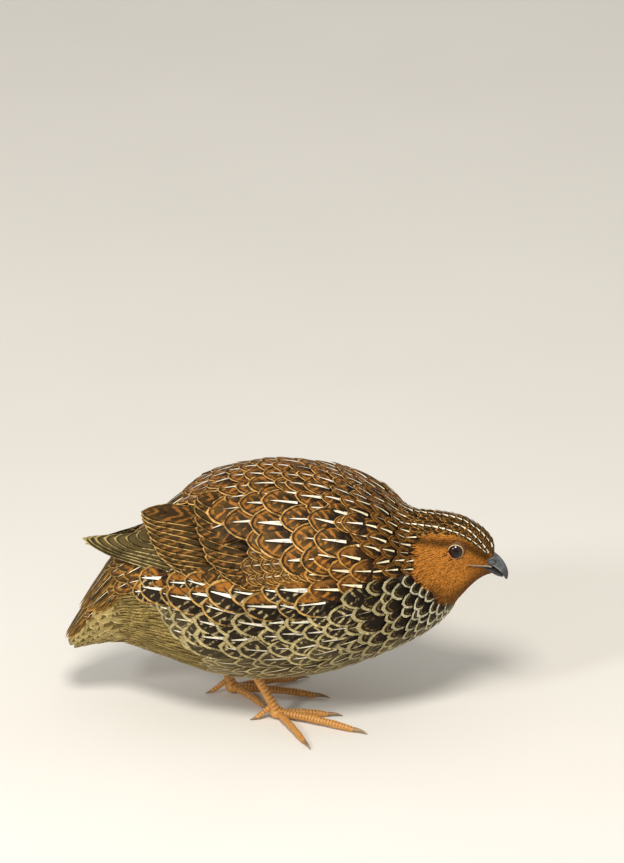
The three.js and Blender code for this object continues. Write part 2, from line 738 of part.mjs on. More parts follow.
for (const { foot, bare, room } of shanks) {
  const shin = toSolid(shinGeometry(foot)).subtract(toSolid(room()));
  quail.add(named(`shin_${foot.name}`, toGeometry(shin), "breast"));

  const ball = ballGeometry();
  ball.translate(foot.x, foot.side * FOOT_REACH, 0);
  const shank = toSolid(bare()).add(toSolid(ball));
  quail.add(named(`shank_${foot.name}`, toGeometry(shank), "leg"));

  const group = footGroup(foot);
  for (const toe of TOES) {
    const holder = new THREE.Group();
    holder.rotation.z = rad(foot.turn + foot[toe.name]);
    let toeSolid = toSolid(toeGeometry(toe)).subtract(toSolid(ballGeometry(CUT * 1.5)));
    if (toe.name !== "middle") {
      const neighbour = toeGeometry(TOES[1], CUT).rotateZ(-rad(foot[toe.name]));
      toeSolid = toeSolid.subtract(toSolid(neighbour));
    }
    const claw = clawGeometry(toe.length + CUT * 1.7, toe.thick, CLAW_LENGTH);
    holder.add(named(`toe_${toe.name}_${foot.name}`, toGeometry(toeSolid), "leg"));
    holder.add(named(`claw_${toe.name}_${foot.name}`, claw, "claw"));
    group.add(holder);
  }

  const behind = new THREE.Group();
  behind.rotation.z = rad(foot.turn + foot.hind);
  const shankRoom = shankGeometry(foot, CUT * 1.2).rotateZ(-behind.rotation.z);
  const hallux = toSolid(bar(halluxCurve(0, 1), [0.9, 1, 1, 0.86].map((r) => r * HALLUX.thick)));
  const cut = hallux.subtract(toSolid(shankRoom)).subtract(toSolid(ballGeometry(CUT * 1.5)));
  const claw = bar(halluxCurve(1.06, 1.42), [0.5, 0.4, 0.2].map((r) => r * HALLUX.thick), 6);
  behind.add(named(`toe_hind_${foot.name}`, toGeometry(cut), "leg"));
  behind.add(named(`claw_hind_${foot.name}`, claw, "claw"));
  group.add(behind);
  quail.add(group);
}

// The origin goes to the middle of the bird's box, at floor level.
quail.updateMatrixWorld(true);
const box = new THREE.Box3().setFromObject(quail, true);
const middle = box.getCenter(v3(0, 0, 0));
quail.position.set(-middle.x, -middle.y, -box.min.z);

export default quail;
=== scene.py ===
# %% [markdown]
# # A New Zealand quail, life size
# This lesson dresses the solids of a small ground bird: a smooth skin, then feathers laid on it tract by
# tract, then the horn of the bill, the eyes and the scaled feet. Sizes are written in millimetres and turned
# into metres in one place. Every feather is real mesh, because the part must look right outside Blender too.

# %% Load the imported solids
import math
import bpy
import bmesh
import numpy as np
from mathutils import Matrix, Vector
from mathutils.bvhtree import BVHTree
from mathutils.kdtree import KDTree


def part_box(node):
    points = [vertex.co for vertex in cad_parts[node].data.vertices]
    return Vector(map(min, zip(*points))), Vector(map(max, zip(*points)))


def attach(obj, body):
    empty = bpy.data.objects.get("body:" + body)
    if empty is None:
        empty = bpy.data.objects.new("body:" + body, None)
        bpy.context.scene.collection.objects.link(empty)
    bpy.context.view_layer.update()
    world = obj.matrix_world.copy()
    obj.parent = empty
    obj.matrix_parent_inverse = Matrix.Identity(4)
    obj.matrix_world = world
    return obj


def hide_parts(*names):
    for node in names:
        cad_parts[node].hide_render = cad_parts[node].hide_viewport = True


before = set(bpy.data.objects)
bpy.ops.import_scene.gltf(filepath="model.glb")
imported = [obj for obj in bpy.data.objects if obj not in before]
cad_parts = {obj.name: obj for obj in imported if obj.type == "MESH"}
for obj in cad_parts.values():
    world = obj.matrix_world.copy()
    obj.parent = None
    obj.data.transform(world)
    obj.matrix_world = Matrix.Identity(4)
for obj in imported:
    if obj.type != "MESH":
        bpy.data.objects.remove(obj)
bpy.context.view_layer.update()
MM = 0.001
eye_boxes = [np.array(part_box(name)) for name in ("eye_right", "eye_left")]
SHIFT = np.mean([b.mean(0) for b in eye_boxes], axis=0) / MM - np.array([70.0, 0.0, 76.2])


def metres(points):
    """Millimetres in the bird's own frame to metres in the scene."""
    return (np.asarray(points, float) + SHIFT) * MM


print(len(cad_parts), "solids; the frame is moved by", SHIFT.round(3), "mm")

# %% [markdown]
# ## The camera
# The bird is seen from its right side, 24 degrees from above and 6 degrees from behind. A long lens from
# four metres keeps the body nearly parallel, as in the picture. The bird stands low and to the left in the
# frame, so the camera looks at a point above it.

# %% Camera
FRAME_WIDE, FRAME_HIGH = 624, 863
MM_PER_PIXEL = 0.405
VIEW_TURN, VIEW_RISE, VIEW_DISTANCE = math.radians(6), math.radians(24), 4000.0
BODY_MIDDLE = np.array([0.0, 0.0, 60.0])
MIDDLE_PIXEL = (286.0, 571.4)

backward = np.array([math.sin(VIEW_TURN) * math.cos(VIEW_RISE), -math.cos(VIEW_TURN) * math.cos(VIEW_RISE),
    math.sin(VIEW_RISE)])
rightward = np.array([math.cos(VIEW_TURN), math.sin(VIEW_TURN), 0.0])
upward = np.cross(backward, rightward)
aim = BODY_MIDDLE + MM_PER_PIXEL * (rightward * (FRAME_WIDE / 2 - MIDDLE_PIXEL[0]) + upward * (MIDDLE_PIXEL[1] - FRAME_HIGH / 2))
stand = BODY_MIDDLE + backward * VIEW_DISTANCE
lens = bpy.data.cameras.new("camera")
camera = bpy.data.objects.new("camera", lens)
bpy.context.scene.collection.objects.link(camera)
camera.location = metres(stand)
camera.rotation_euler = Vector(metres(aim) - metres(stand)).to_track_quat("-Z", "Y").to_euler()
lens.sensor_width = 36
lens.lens = VIEW_DISTANCE / MM_PER_PIXEL / FRAME_HIGH * 36
lens.clip_end = 30
bpy.context.scene.camera = camera
bpy.context.scene.view_settings.view_transform = "Standard"
print("lens", round(lens.lens, 1), "mm")

# %% [markdown]
# ## The form of the body
# A bird's body is a row of ovals threaded on a curved line. These are the rows that the solids were lofted
# from, so the skin and the feathers follow the same shape. The rule between the rows is the centripetal
# Catmull-Rom spline, which passes through every row and doesn't overshoot.


# %% A form threaded on a line
def spline(rows, share):
    """A smooth value between rows, at a share of the way along."""
    p = np.array(rows, float)
    spot = share * (len(p) - 1)
    i = min(int(spot), len(p) - 2)
    w = spot - i
    p1, p2 = p[i], p[i + 1]
    p0 = p[i - 1] if i > 0 else 2 * p[0] - p[1]
    p3 = p[i + 2] if i + 2 < len(p) else 2 * p[-1] - p[-2]
    d0, d1, d2 = (max(np.sum((b - a) ** 2) ** 0.25, 1e-4) for a, b in ((p0, p1), (p1, p2), (p2, p3)))
    start = ((p1 - p0) / d0 - (p2 - p0) / (d0 + d1)) * d1 + (p2 - p1)
    end = (p2 - p1) - (p3 - p1) * d1 / (d1 + d2) + (p3 - p2) * d1 / d2
    return p1 + start * w + (3 * (p2 - p1) - 2 * start - end) * w**2 + (2 * (p1 - p2) + start + end) * w**3


def unit(v):
    return v / np.maximum(np.linalg.norm(v, axis=-1, keepdims=True), 1e-9)


class Form:
    """Oval hoops on a line. A row is x, y, z, half height, half width, lean in degrees and drop."""

    def __init__(self, rows, steps=1200):
        rows = np.array(rows, float)
        shares = np.linspace(0, 1, steps)
        self.line = np.array([spline(rows[:, :3], s) for s in shares])
        sizes = rows[:, 3:6].copy()
        sizes[:, 2] = np.radians(sizes[:, 2])
        self.sizes = np.array([spline(sizes, s) for s in shares])
        self.drop = np.interp(shares, np.linspace(0, 1, len(rows)), rows[:, 6])
        self.reach = np.concatenate([[0], np.cumsum(np.linalg.norm(np.diff(self.line, axis=0), axis=1))])
        self.length = self.reach[-1]

    def hoop(self, along):
        return [np.interp(along, self.reach, v) for v in [*self.line.T, *self.sizes.T, self.drop]]

    def point(self, along, turn, lift=0.0, side=1):
        """The point at a distance along the line and a turn from the top, lifted off the surface."""
        x, y, z, high, wide, lean, drop = self.hoop(along)
        up = (high + lift) * (np.cos(turn) - drop * np.sin(turn) ** 2)
        out = (wide + lift) * np.sin(turn)
        return np.stack(np.broadcast_arrays(x + np.sin(lean) * up, side * (y + out), z + np.cos(lean) * up), -1)

    def outward(self, along, turn, side=1):
        """The outward normal, by small differences."""
        a, t = np.broadcast_arrays(np.asarray(along, float), np.asarray(turn, float))
        later, sooner = np.minimum(a + 0.5, self.length), np.maximum(a - 0.5, 0)
        back = self.point(later, t, 0, side) - self.point(sooner, t, 0, side)
        down = self.point(a, t + 0.02, 0, side) - self.point(a, t - 0.02, 0, side)
        out = unit(np.cross(down, back))
        x, y, z = self.hoop(a)[:3]
        inside = np.stack([x, side * y, z], -1)
        return np.where(np.sum(out * (self.point(a, t, 0, side) - inside), -1, keepdims=True) < 0, -out, out)

    def along_at(self, x):
        return np.interp(-np.asarray(x, float), -self.line[:, 0], self.reach)


BODY_ROWS = [  # x, y, z, half height, half width, lean, drop of the widest point
    (84.3, 0, 68.3, 5.4, 2.4, 6, 0), (82.6, 0, 70.3, 8.0, 3.7, 7.6, 0.05), (79.7, 0, 71.1, 10.6, 5.8, 6.8, 0.08),
    (76.4, 0, 71.1, 13.3, 8.0, 4.2, 0.1), (72.2, 0, 71.0, 16.4, 9.9, -1.7, 0.12),
    (67.2, 0, 70.4, 18.8, 11.4, -9.6, 0.14), (60.9, 0, 68.7, 21.8, 14.2, -18.5, 0.16),
    (54.8, 0, 66.7, 25.9, 18.8, -18, 0.16), (47.8, 0, 66.3, 30.4, 24.5, -15.8, 0.14),
    (38.5, 0, 66.4, 35.2, 31, -14.1, 0.1), (26.7, 0, 65.3, 39.7, 36, -11.8, 0.06),
    (12.2, 0, 63.5, 43.7, 38.5, -9.5, 0.04), (-3.7, 0, 61.6, 45.1, 39, -7.2, 0.03),
    (-19.3, 0, 59.4, 43.9, 37.5, -5.2, 0.03), (-32.8, 0, 57.2, 39.6, 34, -3.5, 0.03),
    (-45.6, 0, 53.8, 32.4, 27.8, -4, 0.02), (-56.8, 0, 50, 26, 20.5, -6, 0), (-66.4, 0, 46.4, 20, 14, -7, 0),
    (-72.6, 0, 40.8, 14, 13, -14, 0), (-78.4, 0, 35.2, 9.2, 12, -22, 0), (-84.4, 0, 29.8, 5.2, 10.6, -30, 0),
    (-89.6, 0, 25.6, 1.8, 8.8, -36, 0),
]
WING_ROWS = [
    (46, -3, 67, 27.5, 27.5, 0, 0), (38, -2, 66.5, 31, 31, 0, 0), (20, -2.5, 64.6, 38.6, 38, 0, 0),
    (-4, -3, 62.4, 42, 41, 0, 0), (-25, -3.5, 60.4, 40.6, 39.2, 0, 0), (-45, -5.2, 59, 34.2, 32.8, 0, 0),
    (-60, -8.4, 58.6, 28, 26.6, 0, 0), (-82, -15.6, 64.2, 20, 19.5, 0, 0), (-92, -18, 67, 16, 16, 0, 0),
]
LEFT_TUCK = {5: (0.5, 1.5), 6: (2, 4), 7: (5, 6.7), 8: (6, 8)}  # row: the left wing's tip lies out and down by this
left_rows = [(x, y + LEFT_TUCK.get(i, (0, 0))[0], z - LEFT_TUCK.get(i, (0, 0))[1], *rest) for i,
    (x, y, z, *rest) in enumerate(WING_ROWS)]
SIDES = {-1: "right", 1: "left"}
body_form = Form(BODY_ROWS)
wing_forms = {-1: Form(WING_ROWS), 1: Form(left_rows)}
print("body line", round(body_form.length, 1), "mm")

# %% [markdown]
# ## Rows that run down the body
# Contour feathers stand in lines that run from the head to the tail, and each line is one feather behind
# another, like the streaks on this bird's back. The lines close up where the body narrows. So a line is set
# by its share of the way round each hoop, from the middle of the back to the middle of the belly.

# %% Round each hoop
TABLE_TURNS = np.radians(np.arange(0, 181, 1.0))
table_alongs = np.arange(0, body_form.length + 1, 1.0)
_hoops = body_form.point(table_alongs[:, None], TABLE_TURNS[None, :])
_steps = np.linalg.norm(np.diff(_hoops, axis=1), axis=2)
half_rounds = _steps.sum(1)
share_table = np.concatenate([np.zeros((len(table_alongs), 1)), np.cumsum(_steps, 1)], 1) / half_rounds[:, None]


def turn_at(along, share):
    """The turn of a spot whose share of the way round is given, at a distance along the body."""
    a = np.clip(np.atleast_1d(along), 0, len(table_alongs) - 1.001)
    s = np.broadcast_to(np.atleast_1d(share), a.shape)
    low = a.astype(int)
    first = np.array([np.interp(v, share_table[i], TABLE_TURNS) for i, v in zip(low, s)])
    second = np.array([np.interp(v, share_table[i + 1], TABLE_TURNS) for i, v in zip(low, s)])
    return first + (second - first) * (a - low)


def half_round(along):
    return np.interp(along, table_alongs, half_rounds)


# %% [markdown]
# ## Meshes from grids
# Most pieces are a sheet of points bent round a form. These helpers turn rings of points into closed meshes,
# with each object at the origin, so that patterns on Object coordinates stay in place.


# %% Helpers for meshes
def mesh_object(name, verts, faces, smooth=True):
    mesh = bpy.data.meshes.new(name)
    mesh.from_pydata([tuple(v) for v in verts], [], [tuple(f) for f in faces])
    if smooth:
        mesh.shade_smooth()
    obj = bpy.data.objects.new(name, mesh)
    bpy.context.scene.collection.objects.link(obj)
    return obj


def face_outward(obj, join=1e-7):
    bm = bmesh.new()
    bm.from_mesh(obj.data)
    bmesh.ops.remove_doubles(bm, verts=bm.verts, dist=join)
    bmesh.ops.recalc_face_normals(bm, faces=bm.faces)
    bm.to_mesh(obj.data)
    bm.free()
    return obj


def tube_faces(rings, around):
    """Faces over rings of points that follow a first point and come before a last one."""
    faces, last = [], 1 + rings * around
    for j in range(around):
        k = (j + 1) % around
        faces += [(0, 1 + k, 1 + j), (last, last - around + j, last - around + k)]
        faces += [(1 + i * around + j, 1 + i * around + k, 1 + (i + 1) * around + k,
            1 + (i + 1) * around + j) for i in range(rings - 1)]
    return faces


def tube(name, rings):
    """A closed skin over rings of points, with a point in the middle of each end."""
    rings = np.asarray(rings, float)
    verts = np.concatenate([rings[0].mean(0)[None], rings.reshape(-1, 3), rings[-1].mean(0)[None]])
    return face_outward(mesh_object(name, verts, tube_faces(rings.shape[0], rings.shape[1])))


def set_attribute(mesh, name, kind, values, domain="POINT"):
    layer = mesh.attributes.new(name, kind, domain)
    key = {"FLOAT": "value", "FLOAT_VECTOR": "vector", "FLOAT2": "vector", "FLOAT_COLOR": "color"}[kind]
    layer.data.foreach_set(key, np.ascontiguousarray(values, np.float32).ravel())


def discard(*objects):
    for obj in objects:
        bpy.data.objects.remove(obj, do_unlink=True)


def join_pieces(name, pieces):
    """Several mesh objects as one, under the first one's name."""
    with bpy.context.temp_override(active_object=pieces[0], selected_editable_objects=pieces,
        selected_objects=pieces):
        bpy.ops.object.join()
    pieces[0].name = pieces[0].data.name = name
    return pieces[0]


# %% [markdown]
# ## The lie of the coat
# Feathers don't lie on the bare body everywhere: over the folded wing, the feathers of the shoulder lie on
# the wing's own feathers. The guide is the surface that they follow. It is the body's form, raised to clear
# the wing wherever the wing lies under it. Nothing of it stays in the model.

# %% Guides for the feathers
WING_CLEARANCE = 2.6  # how far the shoulder feathers lie above the wing's sheet
SCAPULAR_EDGE = [(40, 52), (52, 59), (67, 64), (88, 61), (102, 49), (114, 33), (128, 17), (140, 4), (190, 0)]
MOST_LIFT = [(0, 4.5), (100, 4.0), (125, 2.0), (140, 0), (190, 0)]


def raised_body():
    """How far the coat is lifted off the body at each spot of one side, where a wing lies under it."""
    alongs, turns = np.arange(0, body_form.length, 1.5), np.radians(np.arange(0, 91, 2.0))
    a, t = np.meshgrid(alongs, turns, indexing="ij")
    points, out = body_form.point(a, t), body_form.outward(a, t)
    form = wing_forms[-1]
    wa, wt = np.meshgrid(np.arange(0, form.length, 2.0), np.radians(np.arange(24, 90, 3.0)), indexing="ij")
    wing = form.point(wa, wt, WING_CLEARANCE)
    n = wing.shape[1]
    faces = [(i * n + j, i * n + j + 1, (i + 1) * n + j + 1,
        (i + 1) * n + j) for i in range(wing.shape[0] - 1) for j in range(n - 1)]
    tree = BVHTree.FromPolygons([tuple(p) for p in wing.reshape(-1, 3)], faces)
    lift = np.zeros(a.shape)
    for i, j in np.ndindex(a.shape):
        hit = tree.ray_cast(Vector(points[i, j] - out[i, j] * 6), Vector(out[i, j]), 14)
        if hit[0] is not None:
            lift[i, j] = min(max(hit[3] - 6, 0), np.interp(a[i, j], *zip(*MOST_LIFT)))
    shifted = lambda f: [f, np.roll(f, 1, 0), np.roll(f, -1, 0), np.concatenate([f[:, :1], f[:, :-1]], 1),
        np.concatenate([f[:, 1:], f[:, -1:]], 1)]
    lift = np.maximum.reduce(shifted(lift))
    for _ in range(12):
        lift = sum(shifted(lift)) / 5
    return lift


lift_field = raised_body()


def coat_lift(along, turn):
    """The lift at a spot, faded out below the edge of the shoulder feathers."""
    a, t = np.broadcast_arrays(np.asarray(along, float), np.abs(np.asarray(turn, float)))
    i, j = np.clip(a / 1.5, 0, lift_field.shape[0] - 1.001), np.clip(np.degrees(t) / 2.0, 0,
        lift_field.shape[1] - 1.001)
    i0, j0 = i.astype(int), j.astype(int)
    fi, fj, f = i - i0, j - j0, lift_field
    value = (f[i0, j0] * (1 - fi) + f[i0 + 1, j0] * fi) * (1 - fj) + (f[i0, j0 + 1] * (1 - fi) + f[i0 + 1,
        j0 + 1] * fi) * fj
    edge = np.interp(a, *zip(*SCAPULAR_EDGE)) + 6
    return value * np.clip((edge - np.degrees(t)) / 8 + 1, 0, 1)


def guide_object(name, points, inside):
    n = points.shape[1]
    faces = [(i * n + j, i * n + j + 1, (i + 1) * n + j + 1,
        (i + 1) * n + j) for i in range(points.shape[0] - 1) for j in range(n - 1)]
    normals = unit(np.cross(np.gradient(points, axis=0), np.gradient(points, axis=1)))
    normals = np.where(np.sum(normals * (points - inside), -1, keepdims=True) < 0, -normals, normals)
    obj = mesh_object(name, metres(points).reshape(-1, 3), faces)
    set_attribute(obj.data, "outward", "FLOAT_VECTOR", normals.reshape(-1, 3))
    return obj


a, t = np.meshgrid(np.arange(0.4, body_form.length, 1.2), np.radians(np.arange(-184, 184.1, 4.0)), indexing="ij")
inside = np.stack(body_form.hoop(a)[:3], -1)
coat_guide = guide_object("coat_guide", body_form.point(a, t, coat_lift(a, np.minimum(np.abs(t), np.pi))), inside)
wing_guides = {}
for side, word in SIDES.items():
    form = wing_forms[side]
    a, t = np.meshgrid(np.arange(0.0, form.length, 1.5), np.radians(np.arange(0, 121, 4.0)), indexing="ij")
    inside = np.stack(form.hoop(a)[:3], -1) * [1, side, 1]
    wing_guides[side] = guide_object("wing_guide_" + word, form.point(a, t, 0, side), inside)
print("coat raised by up to", round(float(lift_field.max()), 2), "mm over the wings")

# %% [markdown]
# ## One feather
# A feather that covers the body is a thin curved leaf, wide and round at its tip. It could be a single
# sheet, but a sheet has no thickness in a 3-D file, so each is a closed leaf of a few dozen faces. Two
# attributes, along and across, say where a spot lies on the feather. The colours are painted with them.


# %% Leaves
def leaf_object(name, root, widest, power, cells=(6, 4), thick=0.12):
    """A closed leaf from 0 to 1 along x. It widens from its root to its widest place and closes in a round tip."""
    n, m = cells
    xs = np.linspace(0, 1, n + 1) ** 0.8
    grow = root + (1 - root) * np.sin(np.minimum(xs / widest, 1) * np.pi / 2)
    close = (1 - np.clip((xs - widest) / (1 - widest), 0, 1) ** power) ** (1 / power)
    half = np.maximum(grow * close, 0.02)
    across = np.linspace(-1, 1, m + 1)
    x, c = np.meshgrid(xs, across, indexing="ij")
    top = np.stack([x, half[:, None] * c, thick / 2 * (1 - np.abs(c) ** 3) * (1 - 0.5 * x)], -1)
    verts = np.concatenate([top.reshape(-1, 3), (top * [1, 1, -1]).reshape(-1, 3)])
    count, faces = (n + 1) * (m + 1), []
    at = lambda i, j: i * (m + 1) + j
    for i in range(n):
        for j in range(m):
            q = (at(i, j), at(i + 1, j), at(i + 1, j + 1), at(i, j + 1))
            faces += [q, tuple(count + k for k in reversed(q))]
    rim = [at(0, j) for j in range(m)] + [at(i, m) for i in range(n)] + [at(n, j) for j in range(m, 0, -1)] + [at(i,
        0) for i in range(n, 0, -1)]
    faces += [(b, a, count + a, count + b) for a, b in zip(rim, rim[1:] + rim[:1])]
    obj = mesh_object(name, verts * [1, 1, MM], faces)
    set_attribute(obj.data, "along", "FLOAT", verts[:, 0])
    set_attribute(obj.data, "across", "FLOAT", verts[:, 1] / np.interp(verts[:, 0], xs, grow))
    edge = np.hypot(verts[:, 1], np.maximum(verts[:, 0] - 0.5, 0) / 0.5)
    set_attribute(obj.data, "fray", "FLOAT", np.clip(edge * 3 - 2, 0, 1))
    return face_outward(obj, 1e-9)


LEAVES = {
    "scale": leaf_object("leaf_scale", 0.45, 0.5, 1.75, (8, 6), 0.16),
    "quill": leaf_object("leaf_quill", 0.55, 0.72, 1.75, (16, 4), 0.3),
    "primary": leaf_object("leaf_primary", 0.5, 0.7, 1.5, (18, 4), 0.3),
    "hair": leaf_object("leaf_hair", 0.6, 0.35, 1.2, (4, 2), 0.06),
    "small": leaf_object("leaf_small", 0.5, 0.5, 1.6, (4, 2), 0.1),
}
print({k: len(v.data.polygons) for k, v in LEAVES.items()}, "faces each")

# %% [markdown]
# ## Laying feathers with Geometry Nodes
# Thousands of feathers repeat, so Geometry Nodes lay them. The points carry each feather's direction, size
# and slope. The tree puts a leaf on each point, makes it real, bends it sideways, drops every vertex onto
# the guide and lifts it again by the feather's own slope. Stiff leaves could simply be turned, but they
# would stand off a curved breast like roof tiles.


# %% The tree that lays feathers
def set_up(node, values):
    for key, value in values.items():
        setattr(node, key, value)
    return node


def feather_tree():
    tree = bpy.data.node_groups.new("Lay feathers", "GeometryNodeTree")
    face = tree.interface
    face.new_socket("Geometry", in_out="INPUT", socket_type="NodeSocketGeometry")
    for name, kind in (("Leaf", "Object"), ("Guide", "Object"), ("Material", "Material")):
        face.new_socket(name, in_out="INPUT", socket_type="NodeSocket" + kind)
    for name, value in (("Fray", 0.0003), ("Patch", 0.0015)):
        face.new_socket(name, in_out="INPUT", socket_type="NodeSocketFloat").default_value = value
    face.new_socket("Seed", in_out="INPUT", socket_type="NodeSocketInt").default_value = 3
    face.new_socket("Geometry", in_out="OUTPUT", socket_type="NodeSocketGeometry")
    add = lambda kind, **values: set_up(tree.nodes.new(kind), values)
    link = tree.links.new
    given, done = add("NodeGroupInput").outputs, add("NodeGroupOutput")
    open_socket = lambda sockets, name: next(s for s in sockets if s.enabled and s.name == name)

    def named(name, kind="FLOAT"):
        node = add("GeometryNodeInputNamedAttribute", data_type=kind)
        node.inputs["Name"].default_value = name
        return open_socket(node.outputs, "Attribute")

    def work(kind, operation, *values):
        node = add(kind, operation=operation)
        for slot, value in zip([s for s in node.inputs if s.enabled], values):
            if hasattr(value, "is_linked"):
                link(value, slot)
            else:
                slot.default_value = value
        return next(s for s in node.outputs if s.enabled)

    number = lambda operation, *values: work("ShaderNodeMath", operation, *values)
    vector = lambda operation, *values: work("ShaderNodeVectorMath", operation, *values)

    turn = add("FunctionNodeAxesToRotation", primary_axis="X", secondary_axis="Z")
    link(named("ahead", "FLOAT_VECTOR"), turn.inputs["Primary Axis"])
    link(named("outward", "FLOAT_VECTOR"), turn.inputs["Secondary Axis"])
    leaf = add("GeometryNodeObjectInfo", transform_space="ORIGINAL")
    link(given["Leaf"], leaf.inputs["Object"])
    place = add("GeometryNodeInstanceOnPoints")
    link(given["Geometry"], place.inputs["Points"])
    link(leaf.outputs["Geometry"], place.inputs["Instance"])
    link(turn.outputs["Rotation"], place.inputs["Rotation"])
    link(named("span", "FLOAT_VECTOR"), place.inputs["Scale"])
    real = add("GeometryNodeRealizeInstances")
    link(place.outputs["Instances"], real.inputs["Geometry"])

    along, across, half = named("along"), named("across"), named("half")
    arch = number("MULTIPLY", number("MULTIPLY", along, 4.0), number("SUBTRACT", 1.0, along))
    spot = vector("ADD", add("GeometryNodeInputPosition").outputs[0],
        vector("SCALE", named("bow", "FLOAT_VECTOR"), arch))
    guide = add("GeometryNodeObjectInfo", transform_space="ORIGINAL")
    link(given["Guide"], guide.inputs["Object"])
    near = add("GeometryNodeProximity", target_element="FACES")
    link(guide.outputs["Geometry"], near.inputs["Target"])
    link(spot, near.inputs["Source Position"])
    normal = add("GeometryNodeSampleNearestSurface", data_type="FLOAT_VECTOR")
    link(guide.outputs["Geometry"], normal.inputs["Mesh"])
    link(named("outward", "FLOAT_VECTOR"), normal.inputs["Value"])
    link(spot, normal.inputs["Sample Position"])
    outward = vector("NORMALIZE", open_socket(normal.outputs, "Value"))

    climb = number("SUBTRACT", 1.0, number("POWER", number("SUBTRACT", 1.0, along), 1.5))
    height = number("ADD", named("sink"), number("MULTIPLY", named("climb"), climb))
    height = number("ADD", height, number("MULTIPLY", number("MULTIPLY", named("tilt"), half), across))
    height = number("SUBTRACT", height,
        number("MULTIPLY", number("MULTIPLY", named("cup"), half), number("MULTIPLY", across, across)))
    height = number("ADD", height, number("MULTIPLY", named("curl"), number("POWER", along, 3.0)))

    noise = add("ShaderNodeTexNoise", noise_dimensions="4D")
    noise.inputs["Scale"].default_value = 900.0
    noise.inputs["Detail"].default_value = 1.0
    link(given["Seed"], noise.inputs["W"])
    uneven = vector("SUBTRACT", noise.outputs["Color"], (0.5, 0.5, 0.5))
    frayed = vector("SCALE", uneven, number("MULTIPLY", number("MULTIPLY", named("fray"), given["Fray"]), 2.0))
    moved = vector("ADD", vector("ADD", near.outputs["Position"], vector("SCALE", outward, height)), frayed)
    move = add("GeometryNodeSetPosition")
    link(real.outputs["Geometry"], move.inputs["Geometry"])
    link(moved, move.inputs["Position"])

    flat = add("ShaderNodeCombineXYZ")
    link(number("MULTIPLY", number("SUBTRACT", number("MULTIPLY", along, 2.0), 1.0), given["Patch"]),
        flat.inputs["X"])
    link(number("MULTIPLY", across, given["Patch"]), flat.inputs["Y"])
    unwrap = add("GeometryNodeStoreNamedAttribute", data_type="FLOAT2", domain="CORNER")
    unwrap.inputs["Name"].default_value = "OFBake"
    link(move.outputs["Geometry"], unwrap.inputs["Geometry"])
    link(vector("ADD", named("root_uv", "FLOAT_VECTOR"), flat.outputs[0]), open_socket(unwrap.inputs, "Value"))
    finish = add("GeometryNodeSetMaterial")
    link(unwrap.outputs["Geometry"], finish.inputs["Geometry"])
    link(given["Material"], finish.inputs["Material"])
    link(finish.outputs["Geometry"], done.inputs[0])
    return tree


LAY = feather_tree()
PER_FEATHER = {"chance": 0.5, "tone": 0.0, "hand": 1.0, "fade": 0.0, "dusk": 0.0, "pale": 0.0, "mark": 1.0,
    "tilt": 0.0, "cup": 0.1}
IN_MM = {"half": 1.0, "sink": 0.0, "climb": 1.0, "curl": 0.0}


def lay_feathers(name, feathers, leaf, guide, material, fray=0.0003, seed=3):
    """Feathers as one plain mesh. The dictionary holds one row for each feather, in millimetres."""
    mesh = bpy.data.meshes.new(name)
    roots = metres(feathers["root"])
    n = len(roots)
    mesh.vertices.add(n)
    mesh.vertices.foreach_set("co", roots.astype(np.float32).ravel())
    for key in ("ahead", "outward"):
        set_attribute(mesh, key, "FLOAT_VECTOR", feathers[key])
    set_attribute(mesh, "bow", "FLOAT_VECTOR", feathers.get("bow", np.zeros((n, 3))) * MM)
    set_attribute(mesh, "span", "FLOAT_VECTOR",
        np.stack([feathers["length"] * MM, feathers["half"] * MM, np.ones(n)], -1))
    set_attribute(mesh, "root_uv", "FLOAT_VECTOR", np.column_stack([feathers["uv"], np.zeros(n)]))
    for key, usual in IN_MM.items():
        set_attribute(mesh, key, "FLOAT", np.broadcast_to(feathers.get(key, usual), n) * MM)
    for key, usual in PER_FEATHER.items():
        set_attribute(mesh, key, "FLOAT", np.broadcast_to(feathers.get(key, usual), n))
    points = bpy.data.objects.new(name + "_roots", mesh)
    bpy.context.scene.collection.objects.link(points)
    layer = points.modifiers.new("lay", "NODES")
    layer.node_group = LAY
    sockets = {s.name: s.identifier for s in LAY.interface.items_tree if s.in_out == "INPUT"}
    for key, value in (("Leaf", LEAVES[leaf]), ("Guide", guide), ("Material", material), ("Fray", fray),
        ("Seed", seed)):
        layer[sockets[key]] = value
    made = bpy.data.meshes.new_from_object(points.evaluated_get(bpy.context.evaluated_depsgraph_get()))
    discard(points)
    obj = bpy.data.objects.new(name, made)
    bpy.context.scene.collection.objects.link(obj)
    if not made.materials:
        made.materials.append(material)
    made.shade_smooth()
    print(name, n, "feathers,", sum(len(p.vertices) - 2 for p in made.polygons), "triangles")
    return obj

# %% [markdown]
# ## Where the tracts lie
# Feathers grow in tracts, each with its own size and marks. Each tract is an outline on the unrolled body:
# the distance along the body line from the bill, and the turn from the middle of the back, in degrees. A
# feather belongs to the tract that its middle lies in, because that is the part that shows.

